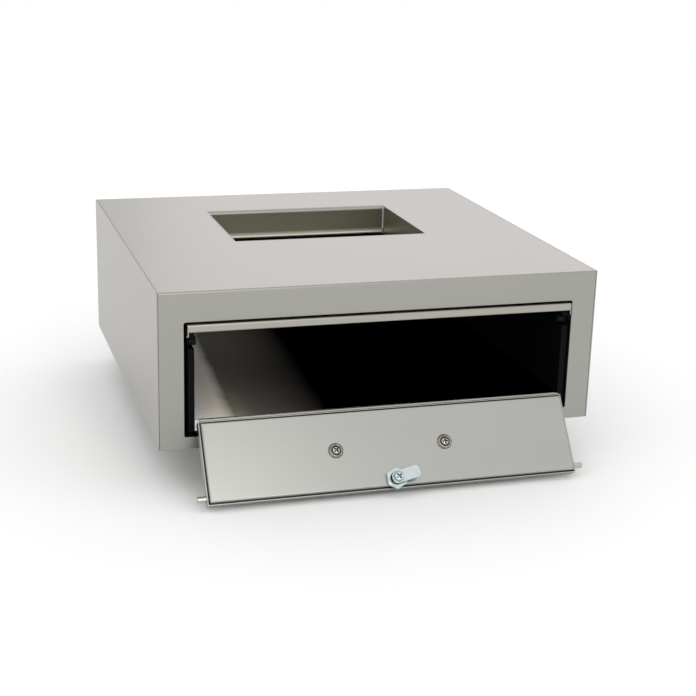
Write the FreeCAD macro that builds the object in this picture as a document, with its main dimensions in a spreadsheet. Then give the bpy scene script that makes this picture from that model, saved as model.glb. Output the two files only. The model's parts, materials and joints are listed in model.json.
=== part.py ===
import FreeCAD, Part
import math
import os
import Sketcher

# A bank teller's deposit drawer, in millimetres. X runs across the drawer, Y runs from the front
# to the back and Z is up. The origin is the centre of the base, on its underside, in the middle
# of the four mounting holes. The drawer is shut and its flap hangs open, as a teller leaves it.

document = FreeCAD.newDocument("deposit_drawer")

# Driving dimensions. Heights are above the base; "reach" and "depth" run back from the front
# face of the casing; the flap's own sizes are in its shut position, measured from the hinge pin.
SIZES = {
    # casing of folded stainless sheet
    "casing_width": 450.0,
    "casing_depth": 434.0,
    "casing_height": 157.0,
    "casing_sheet": 1.2,
    "casing_seam": 0.3,
    "casing_bend": 2.0,
    "panel_flange": 15.0,
    "stile_width": 25.5,
    "opening_sill": 12.0,
    "header_height": 30.0,
    "opening_return": 12.0,
    "opening_corner": 2.0,
    "base_upturn": 9.0,
    "upturn_gap": 1.2,
    "mounting_span": 300.0,
    "mounting_reach": 300.0,
    "mounting_hole": 3.5,
    # slot in the top and its collar
    "slot_width": 215.0,
    "slot_length": 146.5,
    "slot_setback": 195.0,
    "slot_bend": 4.0,
    "slot_lip": 2.0,
    "collar_depth": 34.0,
    "collar_hem": 2.5,
    "hem_end_gap": 1.6,
    # pull-out drawer
    "drawer_play": 4.0,
    "drawer_sheet": 1.2,
    "drawer_edge": 4.8,
    "edge_return": 18.0,
    "sill_gap": 5.0,
    "rear_space": 28.8,
    "floor_rise": 11.5,
    "floor_sheet": 1.2,
    "floor_bend": 2.0,
    "floor_play": 0.2,
    "back_flange": 12.0,
    # rail across the top of the drawer's front
    "rail_gap": 1.6,
    "rail_face": 7.8,
    "rail_overhang": 4.4,
    "rail_depth": 12.0,
    "rail_sheet": 1.0,
    "rail_bend": 1.6,
    "tab_depth": 10.0,
    "tab_hang": 4.0,
    # rubber buffers that the flap's pins shut against
    "buffer_radius": 4.5,
    "buffer_length": 7.5,
    "buffer_gap": 0.5,
    "notch_below": 2.4,
    "notch_margin": 0.6,
    "buffer_floor": 2.0,
    # telescopic ball slides
    "slide_height": 70.0,
    "slide_start": 22.0,
    "slide_end_gap": 2.0,
    "slide_thickness": 10.0,
    "slide_half_height": 17.5,
    "slide_sheet": 1.0,
    "slide_web_gap": 1.3,
    "slide_lip": 1.0,
    "fixed_rail_gap": 2.0,
    "middle_rail_gap": 1.6,
    "ball_radius": 1.5,
    "ball_play": 0.05,
    "ball_pitch": 16.0,
    "outer_ball_inset": 0.6,
    "inner_ball_inset": 0.3,
    "cage_sheet": 0.5,
    "cage_length": 124.0,
    "cage_start": 150.0,
    "outer_cage_gap": 0.3,
    "inner_cage_gap": 0.1,
    "spacer_sheet": 1.2,
    "spacer_foot": 12.0,
    # piano hinge
    "hinge_rise": 0.2,
    "hinge_clear": 0.3,
    "hinge_end_gap": 2.4,
    "hinge_sheet": 1.0,
    "knuckle_radius": 2.2,
    "knuckle_length": 12.0,
    "knuckle_gap": 0.2,
    "pin_radius": 1.0,
    "pin_play": 0.05,
    "hinge_leaf_drop": 9.7,
    "hinge_leaf_reach": 8.0,
    "hinge_rivet_inset": 2.5,
    # flap: outer pan and inner cover
    "flap_open": 144.0,
    "flap_side_gap": 1.1,
    "flap_top_gap": 4.0,
    "fittings_offset": -2.2,
    "flap_thickness": 13.0,
    "flap_sheet": 1.0,
    "flap_rim": 9.5,
    "flap_forward": 2.5,
    "cover_step": 2.2,
    "cover_rim": 8.0,
    "cover_bend": 1.8,
    # pins at the flap's free corners
    "stud_radius": 3.0,
    "stud_reach": 9.0,
    "stud_drop": 7.2,
    "stud_set_in": 3.8,
    "stud_shank": 2.0,
    "stud_head": 3.0,
    "stud_rivet": 0.9,
    # pull handle
    "handle_pitch": 112.0,
    "handle_height": 43.0,
    "handle_radius": 5.0,
    "handle_projection": 30.0,
    "handle_bend": 12.0,
    "handle_screw_radius": 2.5,
    "handle_screw_grip": 11.0,
    "handle_screw_crown": 1.2,
    "spacer_radius": 4.0,
    "washer_radius": 7.75,
    "washer_height": 2.2,
    "washer_rim": 3.0,
    # cam lock
    "lock_drop": 8.9,
    "lock_radius": 6.0,
    "lock_flat": 5.1,
    "lock_flange_radius": 8.5,
    "lock_flange": 2.5,
    "lock_end": 18.0,
    "lock_relief": 0.5,
    "lock_nut_flats": 19.0,
    "lock_nut_height": 4.5,
    "plug_radius": 4.15,
    "plug_play": 0.05,
    "plug_square": 6.0,
    "keyway_width": 1.6,
    "keyway_height": 5.6,
    "keyway_depth": 17.0,
    "cam_sheet": 2.0,
    "cam_width": 12.4,
    "cam_reach": 22.8,
    "cam_corner": 3.2,
    "cam_gap": 0.2,
    "cam_rest_angle": 12.0,
    "cam_washer_radius": 5.0,
    "cam_washer_sheet": 0.8,
    # screws, rivets and rear bumpers
    "panel_screw_radius": 2.0,
    "panel_screw_end": 5.0,
    "rail_screw_radius": 2.0,
    "buffer_screw_radius": 1.5,
    "cam_screw_radius": 2.2,
    "cam_screw_length": 6.0,
    "body_rivet_radius": 1.6,
    "body_rivet_rise": 18.0,
    "body_rivet_drop": 14.0,
    "small_rivet_radius": 1.2,
    "flush_rivet_radius": 2.0,
    "flush_rivet_head": 3.4,
    "bumper_radius": 9.0,
    "bumper_gap": 0.3,
    "bumper_inset": 47.5,
}

sheet = document.addObject("Spreadsheet::Sheet", "Sizes")
for row, (alias, value) in enumerate(SIZES.items(), start=1):
    sheet.set(f"A{row}", alias)
    sheet.set(f"B{row}", str(value))
    sheet.setAlias(f"B{row}", alias)
document.recompute()


class Size:
    """A size that knows its value and the sheet expression that gives it."""

    def __init__(self, value, text):
        self.value = value
        self.text = text

    def __add__(self, other):
        other = as_size(other)
        return Size(self.value + other.value, f"({self.text} + {other.text})")

    def __sub__(self, other):
        other = as_size(other)
        return Size(self.value - other.value, f"({self.text} - {other.text})")

    def __mul__(self, factor):
        factor = as_size(factor)
        return Size(self.value * factor.value, f"({self.text} * {factor.text})")

    def __truediv__(self, divisor):
        return Size(self.value / divisor, f"({self.text} / {divisor})")

    def __neg__(self):
        return self * -1


def as_size(number):
    return number if isinstance(number, Size) else Size(float(number), str(float(number)))


def size(alias):
    return Size(SIZES[alias], f"Sizes.{alias}")


zero = as_size(0)
subparts = []


def new_body(label):
    body = document.addObject("PartDesign::Body", label)
    body.Label = label
    subparts.append(body)
    return body


def origin_feature(body, role):
    return next(item for item in body.Origin.OriginFeatures if item.Role == role)


def new_sketch(body, plane, offset):
    """A sketch square to X (YZ), Y (XZ) or Z (XY), at a distance along that axis."""
    sketch = body.newObject("Sketcher::SketchObject", f"{body.Label}_sketch")
    sketch.AttachmentSupport = [(origin_feature(body, f"{plane}_Plane"), "")]
    sketch.MapMode = "FlatFace"
    distance = -offset if plane == "XZ" else offset
    sketch.AttachmentOffset = FreeCAD.Placement(
        FreeCAD.Vector(0, 0, distance.value), FreeCAD.Rotation())
    sketch.setExpression("AttachmentOffset.Base.z", distance.text)
    return sketch


def hold(sketch, direction, geometry, point, distance):
    """Holds a point of the sketch at a signed distance from the sketch's origin."""
    index = sketch.addConstraint(
        Sketcher.Constraint(direction, -1, 1, geometry, point, distance.value))
    sketch.setExpression(f"Constraints[{index}]", distance.text)


def draw_outline(sketch, corners):
    first = sketch.GeometryCount
    points = [FreeCAD.Vector(across.value, along.value, 0) for across, along in corners]
    for start, end in zip(points, points[1:] + points[:1]):
        sketch.addGeometry(Part.LineSegment(start, end), False)
    for index, (across, along) in enumerate(corners):
        following = first + (index + 1) % len(corners)
        sketch.addConstraint(Sketcher.Constraint("Coincident", first + index, 2, following, 1))
        hold(sketch, "DistanceX", first + index, 1, across)
        hold(sketch, "DistanceY", first + index, 1, along)


def draw_disc(sketch, across, along, radius):
    centre = FreeCAD.Vector(across.value, along.value, 0)
    circle = sketch.addGeometry(Part.Circle(centre, FreeCAD.Vector(0, 0, 1), radius.value), False)
    hold(sketch, "DistanceX", circle, 3, across)
    hold(sketch, "DistanceY", circle, 3, along)
    index = sketch.addConstraint(Sketcher.Constraint("Radius", circle, radius.value))
    sketch.setExpression(f"Constraints[{index}]", radius.text)


def box(low_across, high_across, low_along, high_along):
    return [(low_across, low_along), (high_across, low_along),
            (high_across, high_along), (low_across, high_along)]


def draw(sketch, shapes):
    for shape in shapes:
        if isinstance(shape, tuple):
            draw_disc(sketch, *shape)
        else:
            draw_outline(sketch, shape)


def add(body, plane, start, end, *shapes):
    """Pads outlines and discs (across, along, radius) from one distance to another."""
    sketch = new_sketch(body, plane, start)
    draw(sketch, shapes)
    pad = body.newObject("PartDesign::Pad", f"{body.Label}_pad")
    pad.Profile = sketch
    pad.Reversed = plane == "XZ"
    length = end - start
    pad.Length = length.value
    pad.setExpression("Length", length.text)
    return pad


def cut(body, plane, start, end, *shapes):
    """Pockets outlines and discs between two distances, and checks that metal came away."""
    document.recompute()
    before = body.Shape.Volume
    sketch = new_sketch(body, plane, start)
    draw(sketch, shapes)
    pocket = body.newObject("PartDesign::Pocket", f"{body.Label}_pocket")
    pocket.Profile = sketch
    pocket.Reversed = plane != "XZ"
    length = end - start
    pocket.Length = length.value
    pocket.setExpression("Length", length.text)
    document.recompute()
    if not body.Shape.Volume < before:
        raise ValueError(f"a pocket in {body.Label} cuts nothing")
    return pocket


def repeat(body, features, axis, pitch, count):
    """Repeats features along an axis of the body."""
    pattern = body.newObject("PartDesign::LinearPattern", f"{body.Label}_pattern")
    pattern.Originals = features
    pattern.Direction = (origin_feature(body, axis), [""])
    run = pitch * (count - 1)
    pattern.Length = run.value
    pattern.setExpression("Length", run.text)
    pattern.Occurrences = count
    body.Tip = pattern
    document.recompute()
    return pattern


def straight_edges(shape, direction, test):
    """Names of the straight edges, along a direction if one is given, whose midpoint passes."""
    names = []
    for index, edge in enumerate(shape.Edges, start=1):
        if edge.Curve.TypeId != "Part::GeomLine" or edge.Length < 1e-6:
            continue
        along = edge.tangentAt(edge.FirstParameter)
        middle = edge.valueAt((edge.FirstParameter + edge.LastParameter) / 2)
        parallel = direction is None or abs(abs(along.dot(FreeCAD.Vector(*direction))) - 1) < 1e-6
        if parallel and test(middle):
            names.append(f"Edge{index}")
    return names


def near(value, target):
    return abs(value - target.value) < 0.01


def round_edges(body, radius, direction, test):
    document.recompute()
    names = straight_edges(body.Tip.Shape, direction, test)
    if not names:
        raise ValueError(f"no edge to round in {body.Label}")
    solid = body.Tip
    fillet = body.newObject("PartDesign::Fillet", f"{body.Label}_fillet")
    fillet.Base = (solid, names)
    fillet.Radius = radius.value
    fillet.setExpression("Radius", radius.text)
    document.recompute()


def group(label, shapes, placement=None):
    """Like solids in one sub-part, such as a set of screws."""
    feature = document.addObject("Part::Feature", label)
    feature.Label = label
    feature.Shape = Part.makeCompound(shapes)
    if placement is not None:
        feature.Placement = placement
    subparts.append(feature)
    return feature


def turned(profile, centre, axis):
    """A solid of revolution. The profile's points are (distance along the axis, radius)."""
    points = [FreeCAD.Vector(radius, 0, along) for along, radius in profile]
    face = Part.Face(Part.makePolygon(points + points[:1]))
    solid = face.revolve(FreeCAD.Vector(0, 0, 0), FreeCAD.Vector(0, 0, 1), 360)
    solid.rotate(FreeCAD.Vector(0, 0, 0), *turn_from_z(axis))
    solid.translate(FreeCAD.Vector(*centre))
    return solid


def turn_from_z(axis):
    rotation = FreeCAD.Rotation(FreeCAD.Vector(0, 0, 1), FreeCAD.Vector(*axis))
    return rotation.Axis, math.degrees(rotation.Angle)


def rivet(centre, axis, grip, shank):
    """A set rivet: its head at the centre point, and its tail formed past the grip."""
    head, rise = shank * 1.8, shank * 0.5
    profile = [(-rise, 0), (-rise, head * 0.6), (0, head), (0, shank), (grip, shank),
               (grip, shank * 1.5), (grip + rise, shank * 1.2), (grip + rise, 0)]
    return turned(profile, centre, axis)


def pan_screw(centre, axis, length, shank):
    """A pan-head screw with a cross recess. The centre is under its head."""
    head, rise, slot = shank * 1.95, shank * 1.05, shank * 0.45
    profile = [(-rise, 0), (-rise, head * 0.55), (-rise * 0.55, head * 0.92), (0, head),
               (0, shank), (length, shank), (length, 0)]
    return recessed(turned(profile, (0, 0, 0), (0, 0, 1)), -rise, head * 1.1, slot, rise * 0.7,
                    centre, axis)


def recessed(solid, crown, reach, slot, depth, centre, axis):
    """Cuts a cross recess into the crown of a screw that lies along Z, then puts it in place."""
    for width, breadth in ((slot, reach), (reach, slot)):
        corner = FreeCAD.Vector(-width / 2, -breadth / 2, crown - depth)
        solid = solid.cut(Part.makeBox(width, breadth, depth * 2, corner))
    solid.rotate(FreeCAD.Vector(0, 0, 0), *turn_from_z(axis))
    solid.translate(FreeCAD.Vector(*centre))
    return solid


def spots(places, radius):
    """The same round hole at each (across, along) place."""
    return [(across, along, radius) for across, along in places]


def span(first, second):
    """Two distances in rising order, so that mirrored pieces can share a rule."""
    return (first, second) if first.value < second.value else (second, first)


def find(label):
    return next(item for item in subparts if item.Label == label)


# Places that several sub-parts share.
side_x = size("casing_width") / 2
front = -size("casing_depth") / 2
back = size("casing_depth") / 2
top = size("casing_height")
sheet_t = size("casing_sheet")
wall_x = side_x - sheet_t
shell_x = wall_x - size("casing_seam")
opening_x = side_x - size("stile_width")
sill = size("opening_sill")
head = top - size("header_height")
tray_t = size("drawer_sheet")
edge_x = opening_x - size("drawer_play")
edge_inner = edge_x - tray_t
tray_outer = edge_x - size("drawer_edge")
tray_x = tray_outer - tray_t
underside = sill + size("sill_gap")
tray_floor = underside + tray_t
floor_top = underside + size("floor_rise")
rail_top = head - size("rail_gap")
rail_foot = rail_top - size("rail_face")
rail_under = rail_top - size("rail_sheet")
drawer_back_y = back - sheet_t - size("rear_space")
knuckle = size("knuckle_radius")
pin_y = front - knuckle - size("hinge_clear")
pin_z = floor_top + size("hinge_rise")
flap_x = tray_x - size("flap_side_gap")
flap_foot = knuckle + size("hinge_clear")
flap_head = rail_foot - size("flap_top_gap") - pin_z
stud_y = size("stud_set_in")
stud_z = flap_head - size("stud_drop")
stud_back = pin_y + stud_y + size("stud_radius")
buffer_y = stud_back + size("buffer_gap") + size("buffer_radius")
buffer_z = pin_z + stud_z
notch_back = buffer_y + size("buffer_radius") + size("notch_margin")
notch_foot = buffer_z - size("stud_radius") - size("notch_below")
notch_head = buffer_z + size("buffer_radius") + size("notch_margin")
SIDES = (("left", -1), ("right", 1))

# Side panels: a plate with four flanges turned in, which the other panels are welded to.
inner_front = front + sheet_t
inner_back = back - sheet_t
for side, sign in SIDES:
    panel = new_body(f"side_panel_{side}")
    add(panel, "YZ", *span(wall_x * sign, side_x * sign), box(front, back, zero, top))
    flange = span((wall_x - size("panel_flange")) * sign, wall_x * sign)
    add(panel, "XY", sheet_t, sheet_t * 2, box(*flange, inner_front, inner_back))
    add(panel, "XY", top - sheet_t * 2, top - sheet_t, box(*flange, inner_front, inner_back))
    add(panel, "XZ", inner_front, inner_front + sheet_t, box(*flange, sheet_t, top - sheet_t))
    add(panel, "XZ", inner_back - sheet_t, inner_back, box(*flange, sheet_t, top - sheet_t))

# Top and front of the casing: one sheet folded down over the front, with the drawer's opening
# framed by a return, and the deposit slot cut through the top.
wrap = new_body("casing_wrap")
add(wrap, "YZ", -shell_x, shell_x,
    [(front, zero), (front, top), (back, top), (back, top - sheet_t),
     (inner_front, top - sheet_t), (inner_front, zero)])
add(wrap, "XZ", inner_front, front + size("opening_return"),
    box(-opening_x - sheet_t, opening_x + sheet_t, sill - sheet_t, head + sheet_t))
cut(wrap, "XZ", front, front + size("opening_return"), box(-opening_x, opening_x, sill, head))
slot_x = size("slot_width") / 2
slot_front = front + size("slot_setback")
slot_back = slot_front + size("slot_length")
lip_reach = size("slot_bend") + size("slot_lip")
cut(wrap, "XY", top - sheet_t, top,
    box(-slot_x - sheet_t, slot_x + sheet_t, slot_front - lip_reach, slot_back + lip_reach))
round_edges(wrap, size("casing_bend"), (1, 0, 0), lambda p: near(p.y, front) and near(p.z, top))
round_edges(wrap, size("opening_corner"), (0, 1, 0),
            lambda p: near(abs(p.x), opening_x) and (near(p.z, sill) or near(p.z, head)))

# Base: a plate with an upturn behind the front sheet, and the four mounting holes.
base = new_body("base_panel")
add(base, "XY", zero, sheet_t, box(-shell_x, shell_x, inner_front, inner_back))
upturn_x = wall_x - size("panel_flange") - size("upturn_gap")
add(base, "XZ", inner_front, inner_front + sheet_t,
    box(-upturn_x, upturn_x, zero, size("base_upturn")))
mount_x = size("mounting_span") / 2
mount_y = size("mounting_reach") / 2
cut(base, "XY", zero, sheet_t,
    *spots([(mount_x * i, mount_y * j) for i in (-1, 1) for j in (-1, 1)], size("mounting_hole")))

# Back panel, held by screws to the flanges of the side panels.
back_panel = new_body("back_panel")
add(back_panel, "XZ", inner_back, back, box(-shell_x, shell_x, zero, top - sheet_t))
panel_screw_x = wall_x - size("panel_flange") / 2
panel_screw_heights = [top * share for share in (0.15, 0.5, 0.85)]
panel_screw_r = size("panel_screw_radius")
cut(back_panel, "XZ", inner_back, back,
    *spots([(panel_screw_x * sign, z) for side, sign in SIDES for z in panel_screw_heights],
           panel_screw_r))
for side, sign in SIDES:
    cut(find(f"side_panel_{side}"), "XZ", inner_back - sheet_t, inner_back,
        *spots([(panel_screw_x * sign, z) for z in panel_screw_heights], panel_screw_r))
group("back_screws", [
    pan_screw((panel_screw_x.value * sign, back.value, z.value), (0, -1, 0),
              (sheet_t * 2 + size("panel_screw_end")).value, panel_screw_r.value)
    for side, sign in SIDES for z in panel_screw_heights])

# Collar welded into the slot: four walls. The long ones have a rolled hem along the foot, which
# stops short of the corners, and bend over at the top into a lip flush with the casing.
collar = new_body("slot_collar")
collar_foot = top - size("collar_depth")
add(collar, "XY", collar_foot, top - lip_reach,
    box(-slot_x - sheet_t, slot_x + sheet_t, slot_front - sheet_t, slot_back + sheet_t),
    box(-slot_x, slot_x, slot_front, slot_back))
for wall_y, away in ((slot_front, -1), (slot_back, 1)):
    outer_y = wall_y + sheet_t * away
    lip_end = wall_y + lip_reach * away
    add(collar, "YZ", -slot_x, slot_x,
        [(wall_y, top - lip_reach), (wall_y, top), (lip_end, top), (lip_end, top - sheet_t),
         (outer_y, top - sheet_t), (outer_y, top - lip_reach)])
    round_edges(collar, size("slot_bend"), (1, 0, 0),
                lambda p: near(p.y, wall_y) and near(p.z, top))
    round_edges(collar, size("slot_bend") - sheet_t, (1, 0, 0),
                lambda p: near(p.y, outer_y) and near(p.z, top - sheet_t))
for side, sign in SIDES:
    add(collar, "YZ", *span(slot_x * sign, (slot_x + sheet_t) * sign),
        [(slot_front - lip_reach, top), (slot_back + lip_reach, top),
         (slot_back + lip_reach, top - sheet_t), (slot_back + sheet_t, top - sheet_t),
         (slot_back + sheet_t, top - lip_reach), (slot_front - sheet_t, top - lip_reach),
         (slot_front - sheet_t, top - sheet_t), (slot_front - lip_reach, top - sheet_t)])
hem = size("collar_hem")
hem_x = slot_x - size("hem_end_gap")
add(collar, "YZ", -hem_x, hem_x,
    (slot_back, collar_foot + hem, hem), (slot_front, collar_foot + hem, hem))

# Ball slides. Each side has a fixed rail on a spacer channel, a middle rail and the drawer's
# own rail, nested in each other, with a cage of balls between each pair.
half = size("slide_half_height")
rail_t = size("slide_sheet")
web_gap = size("slide_web_gap")
ball_d = (size("ball_radius") + size("ball_play")) * 2
slide_z = size("slide_height")
slide_y0 = front + size("slide_start")
slide_y1 = drawer_back_y - size("slide_end_gap")
fixed_outer = tray_outer + size("slide_thickness")
fixed_web = fixed_outer - rail_t
middle_outer = fixed_web - web_gap
middle_web = middle_outer - rail_t
drawer_flange = middle_web - web_gap
fixed_half = half - rail_t
middle_half = fixed_half - ball_d
drawer_half = middle_half - rail_t - ball_d
fixed_edge = tray_outer + size("fixed_rail_gap")
middle_edge = tray_outer + size("middle_rail_gap")
outer_ball_x = (fixed_web + fixed_edge) / 2 - size("outer_ball_inset")
inner_ball_x = (drawer_flange + tray_outer + rail_t) / 2 + size("inner_ball_inset")


def channel(web_back, web_face, edge, outer_half, thickness, sign, lip=None):
    """The outline of a C-shaped rail, square to Y, with its web away from its open side."""
    inner_half = outer_half - thickness
    points = [(web_back, -outer_half), (edge, -outer_half)]
    if lip is None:
        points += [(edge, -inner_half)]
    else:
        points += [(edge, -(inner_half - lip)), (edge + lip * 0.7, -(inner_half - lip)),
                   (edge + lip * 0.7, -inner_half)]
    points += [(web_face, -inner_half)]
    mirror = [(x, -z) for x, z in reversed(points)]
    return [(x * sign, slide_z + z) for x, z in points + mirror]


def ball_cage(label, web_face, edge, ball_x, ball_half, sign):
    """A U-shaped cage with a row of balls in each leg."""
    cage_t = size("cage_sheet")
    start = (front + size("cage_start")).value
    count = 8
    outline = [FreeCAD.Vector(x.value, start, z.value) for x, z in channel(
        web_face + cage_t, web_face, edge, ball_half + cage_t / 2, cage_t, sign)]
    cage = Part.Face(Part.makePolygon(outline + outline[:1]))
    cage = cage.extrude(FreeCAD.Vector(0, size("cage_length").value, 0))
    lead = ((size("cage_length") - size("ball_pitch") * (count - 1)) / 2).value
    drill = ball_d.value
    balls = []
    for index in range(count):
        y = start + lead + size("ball_pitch").value * index
        for end in (-1, 1):
            centre = FreeCAD.Vector(ball_x.value * sign, y, slide_z.value + ball_half.value * end)
            cage = cage.cut(Part.makeCylinder(drill / 2, drill,
                                              centre - FreeCAD.Vector(0, 0, drill / 2)))
            balls.append(Part.makeSphere(size("ball_radius").value, centre))
    group(label, [cage] + balls)


spacer_t = size("spacer_sheet")
spacer_foot = half + size("spacer_foot")
spacer_half = [(fixed_outer, -half), (wall_x - spacer_t, -half), (wall_x - spacer_t, -spacer_foot),
               (wall_x, -spacer_foot), (wall_x, -half + spacer_t),
               (fixed_outer + spacer_t, -half + spacer_t)]
spacer_profile = spacer_half + [(x, -z) for x, z in reversed(spacer_half)]
cage_gap = (web_gap - size("cage_sheet")) / 2
for side, sign in SIDES:
    fixed_rail = new_body(f"slide_fixed_rail_{side}")
    add(fixed_rail, "XZ", slide_y0, slide_y1,
        channel(fixed_outer, fixed_web, fixed_edge, half, rail_t, sign, lip=size("slide_lip")))
    middle_rail = new_body(f"slide_middle_rail_{side}")
    add(middle_rail, "XZ", slide_y0, slide_y1,
        channel(middle_outer, middle_web, middle_edge, middle_half, rail_t, sign))
    drawer_rail = new_body(f"slide_drawer_rail_{side}")
    add(drawer_rail, "XZ", slide_y0, slide_y1,
        channel(tray_outer, tray_outer + rail_t, drawer_flange, drawer_half, rail_t, sign))
    ball_cage(f"slide_outer_cage_{side}", middle_outer + cage_gap,
              fixed_edge + size("outer_cage_gap"), outer_ball_x, fixed_half - ball_d / 2, sign)
    ball_cage(f"slide_inner_cage_{side}", drawer_flange + cage_gap,
              middle_edge + size("inner_cage_gap"), inner_ball_x,
              middle_half - rail_t - ball_d / 2, sign)
    spacer = new_body(f"slide_spacer_{side}")
    add(spacer, "XZ", slide_y0, slide_y1, [(x * sign, slide_z + z) for x, z in spacer_profile])

# Flush rivets that hold the fixed rails to their spacers.
slide_run = slide_y1 - slide_y0
rail_rivet_y = [slide_y0 + slide_run * share for share in (0.06, 0.5, 0.94)]
for side, sign in SIDES:
    for label, near_x, far_x, radius in (
            ("slide_fixed_rail", fixed_web, fixed_outer, size("flush_rivet_head")),
            ("slide_spacer", fixed_outer, fixed_outer + spacer_t, size("flush_rivet_radius"))):
        cut(find(f"{label}_{side}"), "YZ", *span(near_x * sign, far_x * sign),
            *spots([(y, slide_z) for y in rail_rivet_y], radius))
flush_head = size("flush_rivet_head").value
flush_shank = size("flush_rivet_radius").value
flush_grip = (rail_t + spacer_t).value
flush_tail = flush_grip + flush_shank * 0.5
group("slide_rivets", [
    turned([(0, 0), (0, flush_head), (rail_t.value, flush_head), (rail_t.value, flush_shank),
            (flush_grip, flush_shank), (flush_grip, flush_shank * 1.6),
            (flush_tail, flush_shank * 1.2), (flush_tail, 0)],
           (fixed_web.value * sign, y.value, slide_z.value), (sign, 0, 0))
    for side, sign in SIDES for y in rail_rivet_y])

# Rubber bumpers on the back panel, which the drawer shuts against.
bumper_r = size("bumper_radius").value
bumper_reach = (inner_back - drawer_back_y - size("bumper_gap")).value
bumper_x = (tray_x - size("bumper_inset")).value
group("rear_bumpers", [
    turned([(0, 0), (0, bumper_r), (bumper_reach - bumper_r * 0.22, bumper_r * 0.72),
            (bumper_reach, bumper_r * 0.55), (bumper_reach, 0)],
           (bumper_x * sign, inner_back.value, slide_z.value), (0, -1, 0))
    for side, sign in SIDES])

# Drawer tray: black-coated sheet folded up at both sides. Each front edge turns out and back,
# and is notched for the flap's pins and the buffers behind them.
tray = new_body("drawer_tray")
add(tray, "XZ", front, drawer_back_y,
    [(-tray_outer, underside), (tray_outer, underside), (tray_outer, rail_under),
     (tray_x, rail_under), (tray_x, tray_floor), (-tray_x, tray_floor), (-tray_x, rail_under),
     (-tray_outer, rail_under)])
for side, sign in SIDES:
    add(tray, "XZ", front, front + tray_t,
        box(*span(tray_outer * sign, edge_x * sign), underside, rail_under))
    add(tray, "XZ", front, front + size("edge_return"),
        box(*span(edge_inner * sign, edge_x * sign), underside, rail_under))
for side, sign in SIDES:
    edge = span(edge_inner * sign, edge_x * sign)
    cut(tray, "XZ", front, notch_back,
        box(*span(tray_x * sign, edge_inner * sign), notch_foot, notch_head))
    cut(tray, "XZ", front, stud_back + size("notch_margin"), box(*edge, notch_foot, notch_head))
    cut(tray, "YZ", *edge, (buffer_y, buffer_z, size("buffer_screw_radius")))

# Buffers: rubber bushes that stand on the returned edges, each on a screw.
buffer_inner = edge_inner - size("buffer_length")
buffer_bore = buffer_inner + size("buffer_floor")
for side, sign in SIDES:
    buffer = new_body(f"buffer_{side}")
    add(buffer, "YZ", *span(buffer_inner * sign, edge_inner * sign),
        (buffer_y, buffer_z, size("buffer_radius")))
    cut(buffer, "YZ", *span(buffer_bore * sign, edge_inner * sign),
        (buffer_y, buffer_z, size("buffer_screw_radius")))
group("buffer_screws", [
    pan_screw((edge_x.value * sign, buffer_y.value, buffer_z.value), (-sign, 0, 0),
              (edge_x - buffer_bore).value, size("buffer_screw_radius").value)
    for side, sign in SIDES])

# Drawer back: a black panel with flanges riveted to the tray's walls.
drawer_back = new_body("drawer_back")
back_face = drawer_back_y - tray_t
add(drawer_back, "XZ", back_face, drawer_back_y, box(-tray_x, tray_x, tray_floor, rail_foot))
for side, sign in SIDES:
    add(drawer_back, "YZ", *span((tray_x - tray_t) * sign, tray_x * sign),
        box(back_face - size("back_flange"), back_face, floor_top + size("floor_play"), rail_foot))
body_rivet_r = size("body_rivet_radius")
body_rivet_y = back_face - size("back_flange") / 2
body_rivet_heights = [tray_floor + size("body_rivet_rise"), rail_foot - size("body_rivet_drop")]
for side, sign in SIDES:
    for body in (drawer_back, tray):
        cut(body, "YZ", *span((tray_x - tray_t) * sign, tray_outer * sign),
            *spots([(body_rivet_y, z) for z in body_rivet_heights], body_rivet_r))
group("drawer_back_rivets", [
    rivet((tray_outer.value * sign, body_rivet_y.value, z.value), (-sign, 0, 0),
          tray_t.value * 2, body_rivet_r.value)
    for side, sign in SIDES for z in body_rivet_heights])

# Drawer floor: a stainless liner standing on its own folded edges, with a lip at the front.
floor = new_body("drawer_floor")
floor_x = tray_x - size("floor_play")
floor_t = size("floor_sheet")
floor_end = back_face - size("floor_play")
add(floor, "YZ", -floor_x, floor_x,
    [(front, tray_floor), (front, floor_top), (floor_end, floor_top), (floor_end, tray_floor),
     (floor_end - floor_t, tray_floor), (floor_end - floor_t, floor_top - floor_t),
     (front + floor_t, floor_top - floor_t), (front + floor_t, tray_floor)])
for side, sign in SIDES:
    add(floor, "YZ", *span((floor_x - floor_t) * sign, floor_x * sign),
        box(front, floor_end, tray_floor, floor_top))
round_edges(floor, size("floor_bend"), (1, 0, 0),
            lambda p: near(p.y, front) and near(p.z, floor_top))

# Rail across the drawer's front: a folded strip whose ends turn down over the tray's edges, and
# hang below it at the front.
rail = new_body("drawer_top_rail")
strip_t = size("rail_sheet")
lip_y = front - size("rail_overhang")
rail_x = edge_x + strip_t
rail_back = front + size("rail_depth")
hem_top = rail_foot + strip_t
add(rail, "YZ", -rail_x, rail_x,
    [(lip_y, rail_foot), (lip_y, rail_top), (rail_back, rail_top), (rail_back, rail_under),
     (lip_y + strip_t, rail_under), (lip_y + strip_t, hem_top), (front - strip_t, hem_top),
     (front - strip_t, rail_foot)])
round_edges(rail, size("rail_bend"), (1, 0, 0),
            lambda p: near(p.y, lip_y) and (near(p.z, rail_foot) or near(p.z, rail_top)))
tab_front = rail_back - size("tab_depth")
tab_foot = rail_foot - size("tab_hang")
for side, sign in SIDES:
    add(rail, "YZ", *span(edge_x * sign, rail_x * sign),
        [(lip_y, tab_foot), (lip_y, rail_top - size("rail_bend")), (lip_y + strip_t, rail_under),
         (rail_back, rail_under), (rail_back, notch_head), (tab_front, notch_head),
         (tab_front, tab_foot)])
small_rivet_r = size("small_rivet_radius")
tab_rivet_y = (tab_front + rail_back) / 2
tab_rivet_z = (notch_head + rail_under) / 2
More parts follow.
